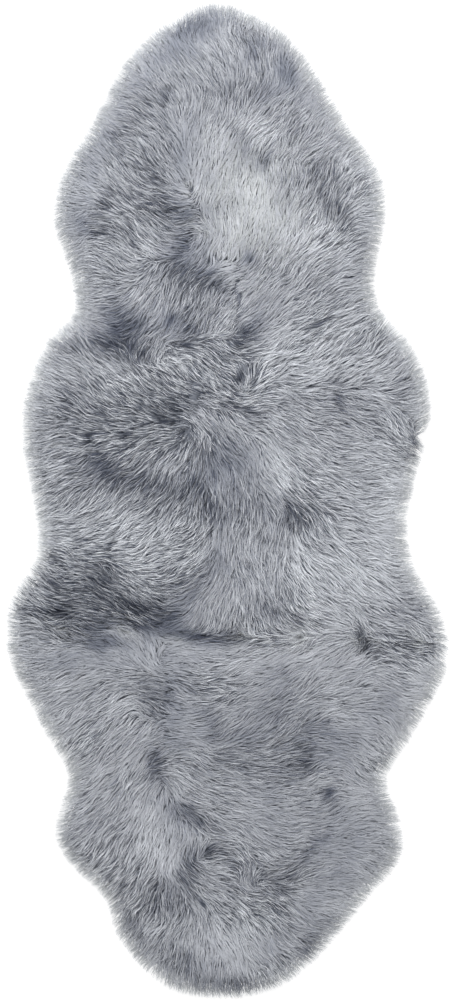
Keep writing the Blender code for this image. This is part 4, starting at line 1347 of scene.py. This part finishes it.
def even_choice(points, width):
    """Which of the candidates stay, so that the cover is nearly even, and the cover that it aims at."""
    luck = rng.exponential(1, len(points))
    weight = np.ones(len(points))
    for _ in range(CHOICE_ROUNDS):
        chosen = np.argsort(luck / weight)[:LONG_FIBRES]
        cover = cover_of(points[chosen], width[chosen])
        aim = np.median(cover[edge_distance > AIM_INSET])
        level = np.where(edge_distance > LEVEL_INSET, cover, aim)
        own = at(level, points[:, 2:, 0], points[:, 2:, 1]).mean(1)
        weight = np.clip(aim / np.maximum(own, COVER_LEAST), *WEIGHT_ENDS) ** WEIGHT_POWER
        tip_inset = at(edge_distance, points[:, -1, 0], points[:, -1, 1])
        weight *= 1 + MORE_AT_RIM * closeness(tip_inset, MORE_AT_RIM_REACH)
    return chosen, aim


def filling_roots(points, width, aim):
    """Roots of short fibres, where the cover is thinnest."""
    thin = np.clip(FILLING_COVER * aim - cover_of(points, width), 0, None) * (edge_distance > FILLING_INSET)
    cell = rng.choice(thin.size, FILLING_FIBRES, p=(thin / thin.sum()).ravel())
    x = map_x[cell % len(map_x)] + rng.uniform(-0.5, 0.5, FILLING_FIBRES) * MAP_STEP
    y = map_y[cell // len(map_x)] + rng.uniform(-0.5, 0.5, FILLING_FIBRES) * MAP_STEP
    path = lock_paths[nearest_lock(x, y)]
    return np.stack([x, y], 1) - FILLING_BACK * (path[:, 2] - path[:, 0])


def grow_fleece():
    """All fibres of the rug: their roots, and what grow tells of each."""
    roots = scatter_roots(int(LONG_FIBRES * CANDIDATES))
    points, width, *others = grow(roots, rng.uniform(*LONG_RUN, len(roots)))
    kept, aim = even_choice(points, width)
    fibres = [part[kept] for part in (roots, points, width, *others)]
    for _ in range(FILLING_ROUNDS):
        filling = filling_roots(fibres[1], fibres[2], aim)
        grown = grow(filling, rng.uniform(*FILLING_RUN, FILLING_FIBRES))
        fibres = [np.concatenate(pair) for pair in zip(fibres, [filling, *grown])]
    return fibres


LOWEST = 0.0004  # height over the floor of a fibre's edge at least
CHART_EDGE = 0.02  # kept free at the ends of each half of the colour chart


def fibre_vertices(points, width, roll):
    """Vertices of flat tapered fibres: two at each station, and one at the tip."""
    ahead = np.gradient(points, axis=1)
    ahead /= np.linalg.norm(ahead, axis=2, keepdims=True) + TINY
    side = np.stack([-ahead[..., 1], ahead[..., 0], np.zeros_like(ahead[..., 0])], -1)
    side /= np.linalg.norm(side, axis=2, keepdims=True) + TINY
    up = np.cross(ahead, side)
    turn = roll[:, None, None]
    half = (side * np.cos(turn) + up * np.sin(turn)) * width[..., None] / 2
    left, right = points - half, points + half
    body = np.stack([left[:, :-1], right[:, :-1]], 2).reshape(len(points), -1, 3)
    verts = np.concatenate([body, points[:, -1:]], 1)
    verts[..., 2] = np.maximum(verts[..., 2], LOWEST)
    return verts


def ribbon_mesh(name, points, width, roll, tone, shading, pale):
    """One mesh of flat tapered fibres, its chart across with tone, and up with painted shade and paleness."""
    count, stations = points.shape[:2]
    verts = fibre_vertices(points, width, roll)
    per_fibre = verts.shape[1]
    base = np.arange(count)[:, None] * per_fibre
    quads = np.array([[2 * k, 2 * k + 1, 2 * k + 3, 2 * k + 2] for k in range(stations - 2)])
    last = 2 * (stations - 2)
    corners = np.concatenate([quads.ravel(), [last, last + 1, last + 2]])
    loops = (base + corners[None, :]).ravel()
    sizes = np.tile([4] * len(quads) + [3], count)
    starts = np.concatenate([[0], np.cumsum(sizes)[:-1]])
    mesh = bpy.data.meshes.new(name)
    mesh.vertices.add(count * per_fibre)
    mesh.vertices.foreach_set("co", verts.astype(np.float32).ravel())
    mesh.loops.add(len(loops))
    mesh.loops.foreach_set("vertex_index", loops.astype(np.int32))
    mesh.polygons.add(len(sizes))
    mesh.polygons.foreach_set("loop_start", starts.astype(np.int32))
    mesh.update(calc_edges=True)
    at_tones, at_shades = (
        np.concatenate([np.repeat(part[:, :-1], 2, axis=1), part[:, -1:]], 1).ravel()[loops]
        for part in (tone, shading)
    )
    at_pales = np.repeat(pale, per_fibre)[loops]
    up_chart = 0.5 * (at_pales + CHART_EDGE + (1 - 2 * CHART_EDGE) * at_shades)
    chart = mesh.uv_layers.new(name="OFBake")
    chart.uv.foreach_set("vector", np.stack([at_tones, up_chart], 1).astype(np.float32).ravel())
    return mesh


def add_math(nodes, links, operation, value, second=0.0):
    """One step of arithmetic on a value."""
    step = nodes.new("ShaderNodeMath")
    step.operation = operation
    step.inputs[1].default_value = second
    links.new(value, step.inputs[0])
    return step.outputs["Value"]


def lock_material():
    """Dyed wool fibres with painted shade at the root and a soft gloss."""
    material, nodes, links, shader = start_material("wool")
    chart = nodes.new("ShaderNodeUVMap")
    chart.uv_map = "OFBake"
    parts = nodes.new("ShaderNodeSeparateXYZ")
    links.new(chart.outputs["UV"], parts.inputs["Vector"])
    across, up = parts.outputs["X"], parts.outputs["Y"]
    colour = place_group(nodes, wool_colour, {"Root": ROOT_LIGHT})
    links.new(colour.outputs["Color"], shader.inputs["Base Color"])
    links.new(across, colour.inputs["Tone"])
    # The chart's lower half is for wool that took the dye, its upper half for paler wool:
    # the less dyed light back, and the painted glow at the rim.
    twice = add_math(nodes, links, "MULTIPLY", up, 2)
    links.new(add_math(nodes, links, "FRACT", twice), colour.inputs["Along"])
    links.new(add_math(nodes, links, "GREATER_THAN", up, 0.5), colour.inputs["Pale"])
    shader.inputs["Roughness"].default_value = 0.55
    shader.inputs["Specular IOR Level"].default_value = 0.35
    return material


# Each piece holds the locks of one pelt whose roots lie between two places along the rug.
PIECES = [
    {"name": "long_pelt_neck_locks", "pelt": "long_pelt", "from": 0.50, "to": 1.0},
    {"name": "long_pelt_shoulder_locks", "pelt": "long_pelt", "from": 0.26, "to": 0.50},
    {"name": "long_pelt_belly_locks", "pelt": "long_pelt", "from": 0.02, "to": 0.26},
    {"name": "long_pelt_rump_locks", "pelt": "long_pelt", "from": -0.30, "to": 0.02},
    {"name": "short_pelt_rump_locks", "pelt": "short_pelt", "from": -0.46, "to": -0.20},
    {"name": "short_pelt_neck_locks", "pelt": "short_pelt", "from": -1.0, "to": -0.46},
]

fleece = lock_material()
roots, *grown = grow_fleece()
above_seam = roots[:, 1] > seam_y + seam_slope * roots[:, 0]
locks = {pelt: [] for pelt in PELTS}
for piece in PIECES:
    chosen = (roots[:, 1] >= piece["from"]) & (roots[:, 1] < piece["to"])
    chosen &= above_seam == (piece["pelt"] == "long_pelt")
    mesh = ribbon_mesh(piece["name"], *(part[chosen] for part in grown))
    lock = start_piece(piece["name"], mesh, fleece)
    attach(lock, "root")
    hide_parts(piece["pelt"])
    locks[piece["pelt"]].append(lock)


# ---------------------------------------------------------------------------------------------------
# Floor, light and camera. A plain matt floor, one large soft light past the long pelt's neck, a weaker one
# from the other side, and a camera straight above.

FLOOR_HALF = 6.0
VIEW_HEIGHT = 1.820  # of the floor in view, top to bottom
VIEW_MIDDLE = (0.0027, 0.0009)
RIM_HEIGHT = 0.005  # over the floor, where the view is as high as that
LENS = 100


def plain_floor():
    """A matt grey floor that glows a little, so that it looks even and pale."""
    half = FLOOR_HALF
    mesh = bpy.data.meshes.new("floor")
    corners = [(-half, -half, 0), (half, -half, 0), (half, half, 0), (-half, half, 0)]
    mesh.from_pydata(corners, [], [(0, 1, 2, 3)])
    material, _, _, shader = start_material("floor")
    shader.inputs["Base Color"].default_value = (0.22, 0.22, 0.22, 1)
    shader.inputs["Roughness"].default_value = 0.9
    shader.inputs["Specular IOR Level"].default_value = 0.1
    shader.inputs["Emission Color"].default_value = (1, 1, 1, 1)
    shader.inputs["Emission Strength"].default_value = 0.85
    start_piece("floor", mesh, material)


def soft_light(name, place, size, power):
    """A round light that points at the middle of the rug."""
    lamp = bpy.data.lights.new(name, "AREA")
    lamp.shape = "DISK"
    lamp.size = size
    lamp.energy = power
    light = bpy.data.objects.new(name, lamp)
    light.location = place
    light.rotation_euler = (-Vector(place)).to_track_quat("-Z", "Y").to_euler()
    bpy.context.scene.collection.objects.link(light)


plain_floor()
soft_light("key", place=(-0.7, 2.4, 2.5), size=1.2, power=112)
soft_light("fill", place=(1.6, -1.6, 3.0), size=3.0, power=32)
world = bpy.data.worlds.new("studio")
bpy.context.scene.world = world
world.use_nodes = True
world.node_tree.nodes["Background"].inputs["Color"].default_value = (1, 1, 1, 1)
world.node_tree.nodes["Background"].inputs["Strength"].default_value = 0.68

camera_data = bpy.data.cameras.new("camera")
camera_data.lens = LENS
camera = bpy.data.objects.new("camera", camera_data)
camera.location = (*VIEW_MIDDLE, VIEW_HEIGHT * LENS / camera_data.sensor_width + RIM_HEIGHT)
bpy.context.scene.collection.objects.link(camera)
bpy.context.scene.camera = camera
bpy.context.scene.view_settings.view_transform = "Standard"
